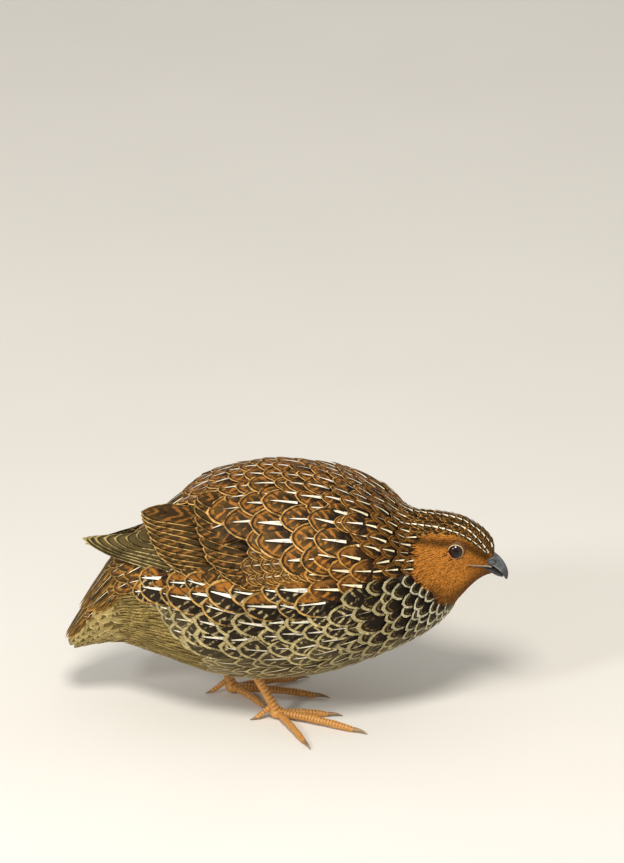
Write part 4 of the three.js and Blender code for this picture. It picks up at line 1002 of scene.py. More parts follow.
# %% The coats' colours
FACE_LOOK = dict(root_strength=0.0, barb_size=4.0, barb_depth=0.06, tone=0.012, bump=0.05, tip_from=0.35,
    uneven=0.0, patch_depth=0.08)
COATS = {
    "face": feather_material("face feathers", middle="b06e28", vane="b4732b", rim="b8782f", dusk="5e3a12",
        pale="d28b3a", **FACE_LOOK),
    "crown": feather_material("crown feathers", middle="2e200e", vane="5c401c", rim="b98640", rim_width=0.22,
        middle_size=0.55, root_to=0.35,
                              barb_size=8.0, tone=0.24),
    "crown_dashes": feather_material("crown dashes", middle="1c130a", vane="3a2812", rim="7a5420", rim_width=0.12,
        streak_width=0.36,
                                     streak_from=0.4, streak_to=0.96, root_to=0.3, streak="f6ecd0", barb_size=8.0),
    "neck": feather_material("neck feathers", middle="281b0c", vane="573a16", rim="8a5c24", streak_width=0.12,
        streak_to=0.9, band_strength=0.6,
                             band="9c6626", rim_line=0.5),
    "mantle": feather_material("mantle feathers", middle="3a2810", vane="523818", rim="c99c5a", rim_width=0.08,
        rim_line=0.9, bars="a3682a",
                               bar_count=4.6, bar_width=0.36, bar_slant=0.35, bar_strength=0.85, band="a0661f",
                                   band_at=0.78, band_width=0.12,
                               band_strength=0.7, streak_width=0.11, streak_to=0.88, root_to=0.6, streak="e8dec8"),
    "scapulars": feather_material("shoulder feathers", middle="3a2a12", vane="4d3818", rim="c99c5a",
        rim_width=0.075, rim_line=0.9, bars="a3682a",
                                  bar_count=5.0, bar_width=0.34, bar_slant=0.4, bar_strength=0.9, band="a0661f",
                                      band_at=0.8, band_width=0.12,
                                  band_strength=0.8, streak_width=0.1, streak_to=0.86, root_to=0.58,
                                      streak="ece2ce"),
    "rump": feather_material("rump feathers", middle="30220f", vane="4c3618", rim="a4803f", rim_width=0.08,
        rim_line=0.5,
                             band="94662a", band_strength=0.9, bar_strength=0.5, bar_slant=0.4, streak_width=0.08),
    "under_wing": feather_material("hidden feathers", middle="2a1e10", vane="4a3218", rim="8a5e2a"),
    "breast_side": feather_material("breast side feathers", middle="33220e", vane="5c3a14", rim="bb8840",
        rim_width=0.12, rim_line=0.6,
                                    bars="a3682a", bar_count=4.6, bar_width=0.36, bar_slant=0.35, bar_strength=0.8,
                                        streak_width=0.11,
                                    streak_to=0.9, ticks=0.7, tick_count=8.0, root_to=0.56, upper="96642a",
                                        upper_amount=0.4),
    "breast": feather_material("breast feathers", middle="1d160c", vane="2b2012", rim="b0a274", rim_width=0.26,
        rim_line=0.6, middle_size=0.55,
                               tick_count=8.0, ticks=0.8, band="8a6e38", band_at=0.52, band_width=0.14,
                                   band_strength=0.5, streak_width=0.1, pale="d3cdb0",
                               root_to=0.56, uneven=0.12),
    "flank_row": feather_material("upper flank feathers", middle="241b10", vane="2a2014", rim="b8904e",
        rim_width=0.11, rim_line=0.5,
                                  upper="97601f", upper_amount=0.95, bars="c2ae7e", bar_count=4.6, bar_width=0.3,
                                      bar_slant=0.35,
                                  bar_strength=0.9, streak_width=0.12, ticks=0.5, tick_count=9.0, streak_from=0.36,
                                      streak_to=0.92,
                                  root_to=0.52, streak="efe8d6"),
    "flank": feather_material("lower flank feathers", middle="221a10", vane="282014", rim="b9a876", rim_width=0.17,
        rim_line=0.5, ticks=0.7,
                              tick_count=9.0, bars="b9a674", bar_count=4.4, bar_width=0.3, bar_slant=0.35,
                                  bar_strength=0.9, streak_width=0.1,
                              streak_from=0.36, streak_to=0.88, root_to=0.54, streak="e4dcc4", fade="8c7c54",
                                  uneven=0.1),
    "belly": feather_material("belly feathers", middle="2a2114", vane="4a3d26", rim="bcaa78", rim_width=0.16,
        ticks=0.6, streak_width=0.06,
                              root_strength=0.7, fade="8c7c54"),
    "vent": feather_material("vent feathers", middle="7a6634", vane="9a834c", rim="c0aa6c", root_strength=0.5,
        barb_size=5.0, tone=0.25),
    "undertail": feather_material("undertail feathers", middle="8f7b48", vane="9c8854", rim="bca870", tip_from=0.6,
        rim_width=0.12, rim_line=0.5,
                                  line="6e5c34", root_to=0.4, root_strength=0.3, uneven=0.08, streak="5c4c2a",
                                      streak_width=0.42,
                                  streak_from=0.5, streak_to=0.9),
    "shin": feather_material("shin feathers", middle="7c6c44", vane="8a7a50", rim="a39468", root_strength=0.2,
        barb_size=5.0, tone=0.2),
    "primaries": feather_material("primary feathers", middle="483b1e", vane="524424", rim="a8945f", rim_width=0.1,
        rim_line=0.8, streak_width=0.012,
                                  root_to=0.12, tip_from=0.7, barb_size=70.0, barb_depth=0.4),
    "secondaries": feather_material("secondary feathers", middle="33240e", vane="433012", rim="bc9858",
        rim_width=0.08, rim_line=0.7, bars="8c5a22",
                                    bar_strength=0.85, bar_count=8.0, bar_width=0.4, bar_slant=0.2, root_to=0.46,
                                        tip_from=0.72, barb_size=60.0),
    "coverts": feather_material("wing coverts", middle="2f210d", vane="3d2b10", rim="b8904e", rim_width=0.075,
        rim_line=0.7, bars="8c5a22",
                                bar_strength=0.85, bar_count=7.0, bar_width=0.4, bar_slant=0.2, root_to=0.5,
                                    tip_from=0.72, barb_size=50.0),
    "lesser": feather_material("lesser coverts", middle="3c2a12", vane="543c18", rim="bd9350", rim_width=0.07,
        rim_line=0.7, streak_width=0.1,
                               streak_from=0.5, streak_to=0.9, root_to=0.55, band="94662a", band_at=0.76,
                                   band_width=0.16, band_strength=0.8,
                               bars="8c5a22", bar_strength=0.7, bar_count=5.0, bar_slant=0.3, streak="dccfae"),
    "tail": feather_material("tail feathers", middle="34260f", vane="5a421a", rim="ab8440", rim_width=0.12,
        bars="8a5e24", bar_strength=0.8,
                             bar_count=8.0, bar_slant=0.3, bar_width=0.45, streak_width=0.05, streak_from=0.2,
                                 root_to=0.1, tip_from=0.72,
                             barb_size=50.0, streak="e2d6b4"),
}
UNDERTAIL_QUILLS = feather_material("undertail quills", middle="5a4626", vane="98865a", rim="c6b686", tip_from=0.72,
    root_to=0.1)
print(len(COATS), "coats share one group of marks")

# %% [markdown]
# ## The skin
# Under the feathers is one smooth skin, so that no gap between them shows a seam. It follows the body's form
# a coat's depth further in, and takes in the feathered shins. The pieces are joined by a voxel remesh, which
# makes one even surface out of shapes that only overlap. Each of its points takes the colour of the feather
# that roots next to it, so the skin carries the coat's pattern.

# %% One skin
SKIN_DEPTH = [(0, 0.35), (6, 0.45), (28, 0.8), (44, 1.3), (70, 1.7), (150, 1.7), (172, 1.6), (186, 1.0)]
SKIN_TINTS = dict(face="a8622a", crown="2c1d0e", crown_dashes="2c1d0e", neck="2c1d0e", mantle="3a2814",
    scapulars="3a2814", rump="3c2a16", under_wing="33230f",
                  breast_side="6a3e1a", breast="2c2216", flank_row="3c2812", flank="30261a", belly="6a5c40",
                      vent="8a7a52", undertail="80704a")


def skin_material():
    made = bpy.data.materials.new("skin under the coat")
    made.use_nodes = True
    wires = Wiring(made.node_tree)
    shader = made.node_tree.nodes["Principled BSDF"]
    fine = wires.noise(wires.add("ShaderNodeTexCoord").outputs["Object"], 900.0, 3.0)
    bright = wires.step(fine, 0.3, 0.7, 0.75, 1.2)
    made.node_tree.links.new(wires.mix(1.0, wires.attribute("tint", "Color"), wires.join(bright, bright, bright),
        "MULTIPLY"), shader.inputs["Base Color"])
    raised = wires.add("ShaderNodeBump")
    raised.inputs["Strength"].default_value = 0.4
    raised.inputs["Distance"].default_value = 0.0002
    made.node_tree.links.new(fine, raised.inputs["Height"])
    made.node_tree.links.new(raised.outputs["Normal"], shader.inputs["Normal"])
    shader.inputs["Roughness"].default_value = 0.85
    return made


def skin_piece():
    alongs = np.concatenate([np.linspace(0.3, 40, 60), np.linspace(41, 184, 110)])
    turns = np.linspace(0, 2 * math.pi, 96, endpoint=False)
    a, t = np.meshgrid(alongs, turns, indexing="ij")
    depth = np.interp(a, *zip(*SKIN_DEPTH))
    pieces = [tube("skin", metres(body_form.point(a, t, -depth)))]
    for foot in FEET:
        form = shin_form(foot)
        a, t = np.meshgrid(np.linspace(0, form.length, 16), np.linspace(0, 2 * math.pi, 24, endpoint=False),
            indexing="ij")
        pieces.append(tube("shin", metres(form.point(a, t, -1.0, foot["side"]))))
    body = join_pieces("skin", pieces)
    remesh = body.modifiers.new("one surface", "REMESH")
    remesh.mode, remesh.voxel_size = "VOXEL", 0.9 * MM
    smooth = body.modifiers.new("smooth", "SMOOTH")
    smooth.factor, smooth.iterations = 0.5, 4
    made = bpy.data.meshes.new_from_object(body.evaluated_get(bpy.context.evaluated_depsgraph_get()))
    discard(body)
    skin = bpy.data.objects.new("skin", made)
    bpy.context.scene.collection.objects.link(skin)
    made.materials.clear()
    made.materials.append(skin_material())
    made.shade_smooth()
    spots, tints = [], []
    for name, feathers in body_feathers.items():
        base, n = np.array(colour(SKIN_TINTS[name])), len(feathers["middle"])
        strength = np.broadcast_to(feathers.get("dusk", 0.0), n)[:, None]
        faded = np.broadcast_to(feathers.get("fade", 0.0), n)[:, None].clip(0, 1) * 0.7
        tint = base + (np.array(colour("553012")) - base) * strength
        tints.append(tint + (np.array(colour("8a7a58")) - tint) * faded)
        spots.append(metres(feathers["middle"]))
    spots, tints = np.concatenate(spots), np.concatenate(tints)
    tree = KDTree(len(spots))
    for i, spot in enumerate(spots):
        tree.insert(spot, i)
    tree.balance()
    near = [tree.find(v.co)[1] for v in made.vertices]
    set_attribute(made, "tint", "FLOAT_COLOR", tints[near])
    print("skin", len(made.polygons), "faces")
    return skin


skin = skin_piece()
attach(skin, "root")
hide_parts("head", "neck", "torso", "shin_right", "shin_left")

# %% [markdown]
# ## The coat
# Each tract becomes one piece, so that each has its own material. The feathers of the shin follow its own
# form, because the body's guide doesn't reach it.

# %% Body feathers
for name, feathers in body_feathers.items():
    leaf = TRACTS[name]["leaf"] if name in TRACTS else "scale"
    coat = lay_feathers("feathers_" + name, feathers, leaf, coat_guide, COATS[name],
        {"face": 0.00005, "crown": 0.0001}.get(name, 0.0003))
    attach(coat, "root")


def shin_feathers(foot, seed):
    """Small soft feathers that point down a shin."""
    form, dice, side = shin_form(foot), np.random.default_rng(seed), foot["side"]
    a, t = np.meshgrid(np.arange(1.0, form.length - 1.0, 0.75), np.linspace(0, 2 * math.pi, 40, endpoint=False),
        indexing="ij")
    a, t = (a + dice.normal(0, 0.3, a.shape)).clip(0.5,
        form.length - 1).ravel(), (t + dice.normal(0, 0.06, t.shape)).ravel()
    root, out = form.point(a, t, 0, side), form.outward(a, t, side)
    ahead = unit(form.point(np.minimum(a + 2, form.length), t, 0, side) - root)
    n = len(a)
    return dict(root=root, ahead=ahead, outward=out, length=np.full(n, 4.2), half=np.full(n, 0.55),
        sink=np.full(n, -0.9), climb=np.full(n, 1.0),
                curl=dice.normal(0, 0.1, n), chance=dice.random(n), tone=dice.normal(0, 1, n),
                    fade=dice.random(n) * 0.3,
                uv=np.column_stack([0.62 + 0.03 * a / form.length, 0.02 + 0.06 * (side + 1) + 0.1 * t / 6.4]))


for foot in FEET:
    form, side, word = shin_form(foot), foot["side"], foot["name"]
    a, t = np.meshgrid(np.linspace(0, form.length, 14), np.linspace(0, 2 * math.pi, 25), indexing="ij")
    inside = np.stack(form.hoop(a)[:3], -1) * [1, side, 1]
    guide = guide_object("shin_guide", form.point(a, t, 0, side), inside)
    piece = lay_feathers("feathers_shin_" + word, shin_feathers(foot, 61 + side), "hair", guide, COATS["shin"])
    discard(guide)
    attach(piece, "root")

# %% [markdown]
# ## The folded wing
# A closed wing is a stack of tiers: the long primaries under the secondaries, those under the greater
# coverts, and the small coverts on top towards the shoulder. Each tier runs from a low feather to a high one,
# and each feather lies over the one below it like a slate, so its lower edge shows as a thin pale line.

# %% Wing feathers
WING_TIERS = {
    # roots and tips from low to high as (x, turn); half width; sink and climb; how far the low edge stands up
    "primaries": dict(count=7, roots=[(-26, 78), (-29, 73), (-32, 68), (-34, 62), (-36, 54)],
                      tips=[(-82.5, 67.5), (-79.9, 63.7), (-73.2, 57.6), (-66.4, 52.1), (-59.5, 46)],
                      half=4.1, sink=-1.2, climb=1.5, tilt=0.1, leaf="primary"),
    "secondaries": dict(count=14, roots=[(-4, 79), (-6, 77), (-7, 75), (-8, 72.5), (-9, 70), (-10, 67.5), (-12, 64),
        (-13, 61), (-14, 56), (-14, 49)],
                        tips=[(-24, 76.5), (-31.5, 73), (-39.1, 70), (-44.3, 65.6), (-48.7, 60.1), (-51.1, 54.6),
                            (-53, 46.6), (-55.2, 38.1), (-57.4, 31), (-57.2, 26.5)],
                        half=4.3, sink=-0.8, climb=2.5, tilt=0.1, leaf="quill"),
    "greater": dict(count=12, roots=[(9, 78), (8, 76.5), (7, 74), (5, 71), (4, 68), (2, 65), (1, 61), (0, 55),
        (0, 48)],
                    tips=[(-15, 76), (-21, 72.5), (-25.2, 67.4), (-28.2, 61.9), (-30.6, 55.8), (-32.3, 46.6),
                        (-33.3, 37.4), (-34.3, 29), (-34, 25)],
                    half=4.2, sink=-0.2, climb=3.1, tilt=0.1, leaf="quill"),
}
WING_SCALES = [  # small coverts in short lines: count, first and last root as (x, turn), length, half width
    (8, (24, 71), (-2, 74), 13, 3.9), (8, (27, 65), (-3, 67), 13, 4.0), (8, (31, 58), (-3, 60), 13, 4.1),
    (7, (34, 50), (2, 52), 13, 4.2), (6, (34, 43), (6, 44), 13, 4.2),
]
WING_COAT = {"primaries": "primaries", "secondaries": "secondaries", "greater": "coverts"}


def on_wing(form, spots, side, lift=0.0):
    x, turn = np.array(spots, float).T
    a = form.along_at(x)
    return a, np.radians(turn), form.point(a, np.radians(turn), lift, side)


def spread(spots, count, side):
    """Spots at even shares along a list. The left wing's high feathers lie a little lower than the right wing's."""
    at = np.linspace(0, len(spots) - 1, count)
    x, turn = (np.interp(at, np.arange(len(spots)), np.array(spots, float)[:, k]) for k in (0, 1))
    return np.column_stack([x, turn + (np.maximum(66 - turn, 0) * 0.72 if side > 0 else 0)])


def wing_rows(count, roots, tips, half, sink, climb, tilt, side, seed, **_):
    form, dice, n = wing_forms[side], np.random.default_rng(seed), count
    roots, tips = spread(roots, count, side), spread(tips, count, side)
    a, t, start = on_wing(form, roots, side)
    end = on_wing(form, [(x + dice.normal(0, 0.3), turn) for x, turn in tips], side)[2]
    share, run = np.linspace(0, 1, n), end - start
    length = np.linalg.norm(run, axis=1)
    out = form.outward(a, t, side)
    ahead = run / length[:, None]
    return dict(
        root=start, ahead=ahead, outward=out, length=length, half=half * (1 + dice.normal(0, 0.02, n)),
            bow=-np.cross(out, ahead) * side * -1.2,
        sink=sink + share * 0.7, climb=np.full(n, climb), curl=dice.normal(0, 0.05, n),
            tilt=np.full(n, -side * tilt), cup=np.full(n, 0.02),
        hand=np.full(n, -side), chance=dice.random(n), tone=dice.normal(0, 0.7, n),
        uv=np.column_stack([0.7 + 0.13 * (side + 1) / 2 + 0.1 * share, 0.1 + 0.8 * (start[:, 0] + 90) / 140]))


def wing_scales(side, seed):
    form, dice, parts = wing_forms[side], np.random.default_rng(seed), []
    for line, (count, first, last, length, half) in enumerate(WING_SCALES):
        k = (np.arange(count) + 0.5 * (line % 2)) / count
        x, turn = first[0] + (last[0] - first[0]) * k, first[1] + (last[1] - first[1]) * k
        a, t, start = on_wing(form, np.column_stack([x, turn]), side)
        end = on_wing(form, np.column_stack([x - length, turn + 1.5]), side)[2]
        run = end - start
        long = np.linalg.norm(run, axis=1)
        parts.append(dict(
            root=start, ahead=run / long[:, None], outward=form.outward(a, t, side), length=long,
                half=half * (1 + dice.normal(0, 0.04, count)),
            sink=np.full(count, 0.8), climb=np.full(count, 2.4), curl=dice.normal(0, 0.1, count),
                tilt=np.full(count, -side * 0.08),
            cup=np.full(count, 0.05), hand=np.full(count, -side), chance=dice.random(count),
                tone=dice.normal(0, 1, count),
            uv=np.column_stack([np.full(count, 0.7 + 0.13 * (side + 1) / 2 + 0.02 * line),
                0.1 + 0.8 * (start[:, 0] + 90) / 140])))
    return {k: np.concatenate([p[k] for p in parts]) for k in parts[0]}


for side, word in SIDES.items():
    for number, (name, tier) in enumerate(WING_TIERS.items()):
        piece = lay_feathers(f"{name}_{word}", wing_rows(side=side, seed=40 + number + side, **tier), tier["leaf"],
            wing_guides[side], COATS[WING_COAT[name]], 0.0001)
        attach(piece, "root")
        if name == "primaries":
            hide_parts("wing_" + word)
    piece = lay_feathers("coverts_" + word, wing_scales(side, 50 + side), "scale", wing_guides[side],
        COATS["lesser"], 0.0002)
    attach(piece, "root")

# %% [markdown]
# ## The tail
# The tail is short and soft and hangs low. Its feathers lie in a shallow fan above and below, with rounded
# coverts over their roots.

# %% Tail feathers
TAIL_TIERS = {
    "tail_quills": dict(count=12, root=152.0, tip=185.6, crown=7.0, turn=82, under=0, half=2.6, sink=-1.2,
        climb=1.4, leaf="quill"),
    "tail_coverts": dict(count=9, root=144.0, tip=174.0, crown=7.0, turn=60, under=0, half=3.0, sink=-0.6,
        climb=1.8, leaf="quill"),
    "tail_under": dict(count=9, root=154.0, tip=182.5, crown=4.0, turn=80, under=1, half=3.4, sink=-1.4, climb=1.5,
        leaf="quill"),
}


def tail_tier(count, root, tip, crown, turn, under, half, sink, climb, seed, **_):
    dice = np.random.default_rng(seed)
    aside = np.linspace(-1, 1, count)
    turns = math.pi * under + np.radians(turn) * aside
    start = body_form.point(np.full(count, root), turns)
    end = body_form.point(np.minimum(tip - crown * aside**2 + dice.normal(0, 0.3, count), body_form.length - 0.3),
        turns)
    run = end - start
    length = np.linalg.norm(run, axis=1)
    turned = np.arctan2(np.sin(turns), np.cos(turns))
    out = body_form.outward(np.full(count, root), np.abs(turned))
    out[:, 1] *= np.where(turned < 0, -1, 1)
    return dict(
        root=start, ahead=run / length[:, None], outward=out, length=length, half=np.full(count, half),
        sink=sink - 0.5 * np.abs(aside), climb=np.full(count, climb), tilt=0.14 * -aside, cup=np.full(count, 0.05),
            hand=-np.sign(aside + 0.01),
        chance=dice.random(count), tone=dice.normal(0, 1, count),
        uv=np.column_stack([np.full(count, 0.64) + 0.03 * under, 0.2 + 0.3 * (aside + 1)]))


for number, (name, tier) in enumerate(TAIL_TIERS.items()):
    piece = lay_feathers(name, tail_tier(seed=70 + number, **tier), tier["leaf"], coat_guide,
        UNDERTAIL_QUILLS if tier["under"] else COATS["tail"], 0.0002)
    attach(piece, "root")
    if name == "tail_quills":
        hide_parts("tail")

# %% [markdown]
# ## Horn, skin and eyes
# Bill, claws, lids and the scaled feet share one plain recipe: two tones mixed by a noise, an attribute that
# darkens grooves and lightens edges, and a fine bump. The attribute is made with the mesh.


# %% A material for bare parts
def bare_material(name, base, second, groove, edge, roughness=0.45, scale=700.0, bump=0.25):
    made = bpy.data.materials.new(name)
    made.use_nodes = True
    wires = Wiring(made.node_tree)
    shader = made.node_tree.nodes["Principled BSDF"]
    fine = wires.noise(wires.add("ShaderNodeTexCoord").outputs["Object"], scale, 3.0)
    shade = wires.mix(wires.step(fine, 0.35, 0.65), colour(base), colour(second))
    relief = wires.attribute("relief")
    shade = wires.mix(wires.step(relief, 0.0, 1.0), shade, colour(edge))
    shade = wires.mix(wires.step(relief, 0.0, -1.0), shade, colour(groove))
    made.node_tree.links.new(shade, shader.inputs["Base Color"])
    raised = wires.add("ShaderNodeBump")
    raised.inputs["Strength"].default_value = bump
    raised.inputs["Distance"].default_value = 0.0002
    made.node_tree.links.new(fine, raised.inputs["Height"])
    made.node_tree.links.new(raised.outputs["Normal"], shader.inputs["Normal"])
    shader.inputs["Roughness"].default_value = roughness
    return made


HORN = bare_material("bill horn", "44474a", "5e6163", "0d0d0e", "a5a598", 0.34, 500.0, 0.12)
DARK_HORN = bare_material("lower bill horn", "2a2724", "3b3834", "0b0a09", "6a675e", 0.36, 500.0, 0.12)
GAPE = bare_material("gape skin", "a8a08a", "8d8672", "1a1510", "c8c0a6", 0.5, 900.0, 0.2)
SCUTES = bare_material("leg skin", "b87c32", "ca9148", "5c3812", "fbe2b0", 0.5, 900.0, 0.3)
CLAW = bare_material("claw horn", "80603c", "967650", "443222", "b09a78", 0.38, 500.0, 0.1)
LID = bare_material("eyelid skin", "543410", "6a4416", "2c190a", "d9c69a", 0.55, 1200.0, 0.3)

# %% [markdown]
# ## The bill
# A quail's bill is short, deep and strongly curved. The upper half closes over the lower one with a sharp
# cutting edge, and a swollen flap covers each nostril. Both halves are lofts with a section that is narrow
# at its ridge and full at its side. They run back under the feathers of the face.

# %% Upper and lower bill
UPPER_BILL = [  # x, y, z, half height, half width, lean
    (79.2, 0, 70.2, 3.4, 4.2, -4, 0), (80.8, 0, 70.0, 3.6, 4.0, -2, 0), (82.6, 0, 69.5, 3.9, 3.75, 0, 0),
    (84.6, 0, 68.5, 3.6, 3.0, 6, 0),
    (86.6, 0, 66.9, 2.8, 2.3, 22, 0), (88.2, 0, 64.9, 2.0, 1.65, 38, 0), (89.2, 0, 62.9, 1.2, 1.05, 58, 0),
    (89.5, 0, 60.9, 0.45, 0.4, 76, 0),
]
LOWER_BILL = [
    (79.4, 0, 67.2, 1.1, 3.6, 6, 0), (81.2, 0, 66.6, 1.2, 3.7, 10, 0), (83.0, 0, 65.5, 1.3, 3.3, 16, 0),
    (84.8, 0, 64.3, 1.25, 2.7, 18, 0),
    (86.6, 0, 63.1, 1.0, 2.0, 18, 0), (88.2, 0, 62.2, 0.45, 1.1, 16, 0),
]
NOSTRIL = np.array([83.9, 3.4, 69.2])


def bill_half(name, rows, top_sharp, bottom_flat, around=72, along=70):
    form = Form(rows)
    a = form.length * np.linspace(0, 1, along) ** 0.9
    t = np.linspace(0, 2 * math.pi, around, endpoint=False)
    x, y, z, high, wide, lean, _ = [v[:, None] for v in form.hoop(a)]
    c, s = np.cos(t)[None], np.sin(t)[None]
    depth = np.interp(a / form.length, [0, 0.3, 0.5, 0.75, 1], np.array([0.5, 0.56, 0.72, 0.9, 1.0]))[:,
        None] if bottom_flat < 1 else 1.0
    up = high * np.where(c < 0, c * depth, c)
    out = wide * s * (1 - top_sharp * np.clip(c, 0, 1) ** 1.6)
    rings = np.stack([x + np.sin(lean) * up, y + out, z + np.cos(lean) * up], -1)
    relief = np.zeros(rings.shape[:2])
    if name == "bill_upper":
        relief += 0.95 * np.exp(-(((c + 0.42) / 0.1) ** 2)) * (a[:, None] / form.length < 0.72)
        for side in (-1, 1):
            d = (rings - NOSTRIL * [1, side, 1]) / [1.75, 1.6, 1.05]
            reach = np.linalg.norm(d, axis=2)
            swell = np.clip(1 - reach, 0, 1) ** 0.6
            rings[..., 1] += side * 0.55 * swell
            rings[..., 2] += 0.12 * swell
            relief -= 1.2 * np.exp(-(((reach - 1.06) / 0.14) ** 2)) + 0.3 * swell
        relief -= 0.65 * np.clip((a[:, None] / form.length - 0.6) / 0.3, 0, 1)
    obj = tube(name, metres(rings))
    flat = np.concatenate([[0], relief.ravel(), [0]])
    if len(obj.data.vertices) == len(flat):
        set_attribute(obj.data, "relief", "FLOAT", flat.clip(-1, 1))
    return obj


for name, rows, sharp, flat in (("bill_upper", UPPER_BILL, 0.42, 0.62), ("bill_lower", LOWER_BILL, 0.1, 1.0)):
    half = bill_half("bill_" + name[5:], rows, sharp, flat)
    half.name = half.data.name = "horn_" + name[5:]
    half.data.materials.append(HORN if name == "bill_upper" else DARK_HORN)
    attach(half, "root")
    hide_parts(name)


# %% Swept tubes
def frames_along(points, up=(0, 0, 1)):
    """The direction, the side and the top at each point of a path."""
    ahead = unit(np.gradient(points, axis=0))
    side = unit(np.cross(np.array(up, float), ahead))
    return ahead, side, np.cross(ahead, side)


def swept(points, radii, around=16, flat=1.0, up=(0, 0, 1)):
    """Rings of points round a path, with a radius at each point; flat squeezes the height."""
    side, top = frames_along(points, up)[1:]
    t = np.linspace(0, 2 * math.pi, around, endpoint=False)
    r = np.asarray(radii, float)[:, None, None]
    return points[:, None] + r * (np.cos(t)[None, :, None] * top[:, None] * flat + np.sin(t)[None, :,
        None] * side[:, None])


def bend(a, b, c, steps):
    """A quadratic curve through a and c that leans towards b."""
    t = np.linspace(0, 1, steps)[:, None]
    a, b, c = (np.array(p, float) for p in (a, b, c))
    return a * (1 - t) ** 2 + 2 * b * t * (1 - t) + c * t**2


# %% [markdown]
# ## The corner of the mouth
# The mouth runs back under the face feathers as a pale fold with a dark strip below it, a painted shadow for the slit
# between the bill's halves.

# %% Gape


def on_cheek(x, z, side):
    """The spot on the feather guide beside a place that is given as seen from the side, in millimetres."""
    ray = cheek.ray_cast(Vector(metres((x, side * 60, z))), Vector((0, -side, 0)))
    return np.array(ray[0]) / MM - SHIFT


cheek = BVHTree.FromPolygons([v.co for v in coat_guide.data.vertices],
    [p.vertices for p in coat_guide.data.polygons])
GAPE_LINE = [(83.6, 66.95), (82.2, 67.7), (80.6, 68.2), (78.8, 68.75), (76.8, 69.4), (74.6, 70.1)]
for label, drop, thick, material, lift in (("gape_fold", 0.1, 0.36, GAPE, 0.25),
    ("mouth_slit", -0.42, 0.24, HORN, 0.3)):
    parts = []
    for side in (-1, 1):
        s = np.linspace(0, len(GAPE_LINE) - 1, 40)
        corner = np.array([on_cheek(x, z, side) for x, z in GAPE_LINE])
        line = np.column_stack([np.interp(s, np.arange(len(GAPE_LINE)), corner[:, k]) for k in range(3)])
        for _ in range(4):
            line[1:-1] = (line[:-2] + line[1:-1] * 2 + line[2:]) / 4
        line = line + [0, side * lift, drop]
        parts.append(tube(label, metres(swept(line, thick * np.clip(np.linspace(1.05, 0.25, 40), 0, 1), 10))))
    fold = join_pieces(label, parts)
    # The slit strip is painted shadow: it takes the horn's near-black groove colour all over.
    set_attribute(fold.data, "relief", "FLOAT",
        np.full(len(fold.data.vertices), 0.0 if label == "gape_fold" else -1.0))
    fold.data.materials.append(material)
    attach(fold, "root")

# %% [markdown]
# ## The eyes
# The eyeball is much larger than the opening between the lids. The cornea bulges a little in front of the
# iris. The pupil and the iris are zones of one material, by their angle from the eye's own axis, which is
# kept on the mesh as an attribute.

# %% Eyeballs and lids
EYE_AXIS = unit(np.array([0.03, 0.985, 0.04]))
FRONT_RINGS, BACK_RINGS = 44, 18
CORNEA_BULGE, CORNEA_ANGLE = 0.22, 0.62  # mm, radians from the axis
LID_POINTS = 96
LID_BEHIND = 0.2  # mm that the lid stands prouder where the cheek is full


def eye_material():
    made = bpy.data.materials.new("eye")
    made.use_nodes = True
    wires = Wiring(made.node_tree)
    shader = made.node_tree.nodes["Principled BSDF"]
    angle = wires.attribute("angle")
    streaks = wires.noise(wires.attribute("spokes", "Vector"), 2.0, 3.0)
    iris = wires.mix(streaks, colour("1e0c07"), colour("42200f"))
    iris = wires.mix(wires.step(angle, 0.5, 0.36), iris, colour("1c0b07"))
    shade = wires.mix(wires.step(angle, 0.60, 0.68), iris, colour("0b0605"))
    shade = wires.mix(wires.step(angle, 0.30, 0.34, 1.0, 0.0), shade, colour("030202"))
    made.node_tree.links.new(shade, shader.inputs["Base Color"])
    shader.inputs["Roughness"].default_value = 0.03
    shader.inputs["Specular IOR Level"].default_value = 0.3
    return made


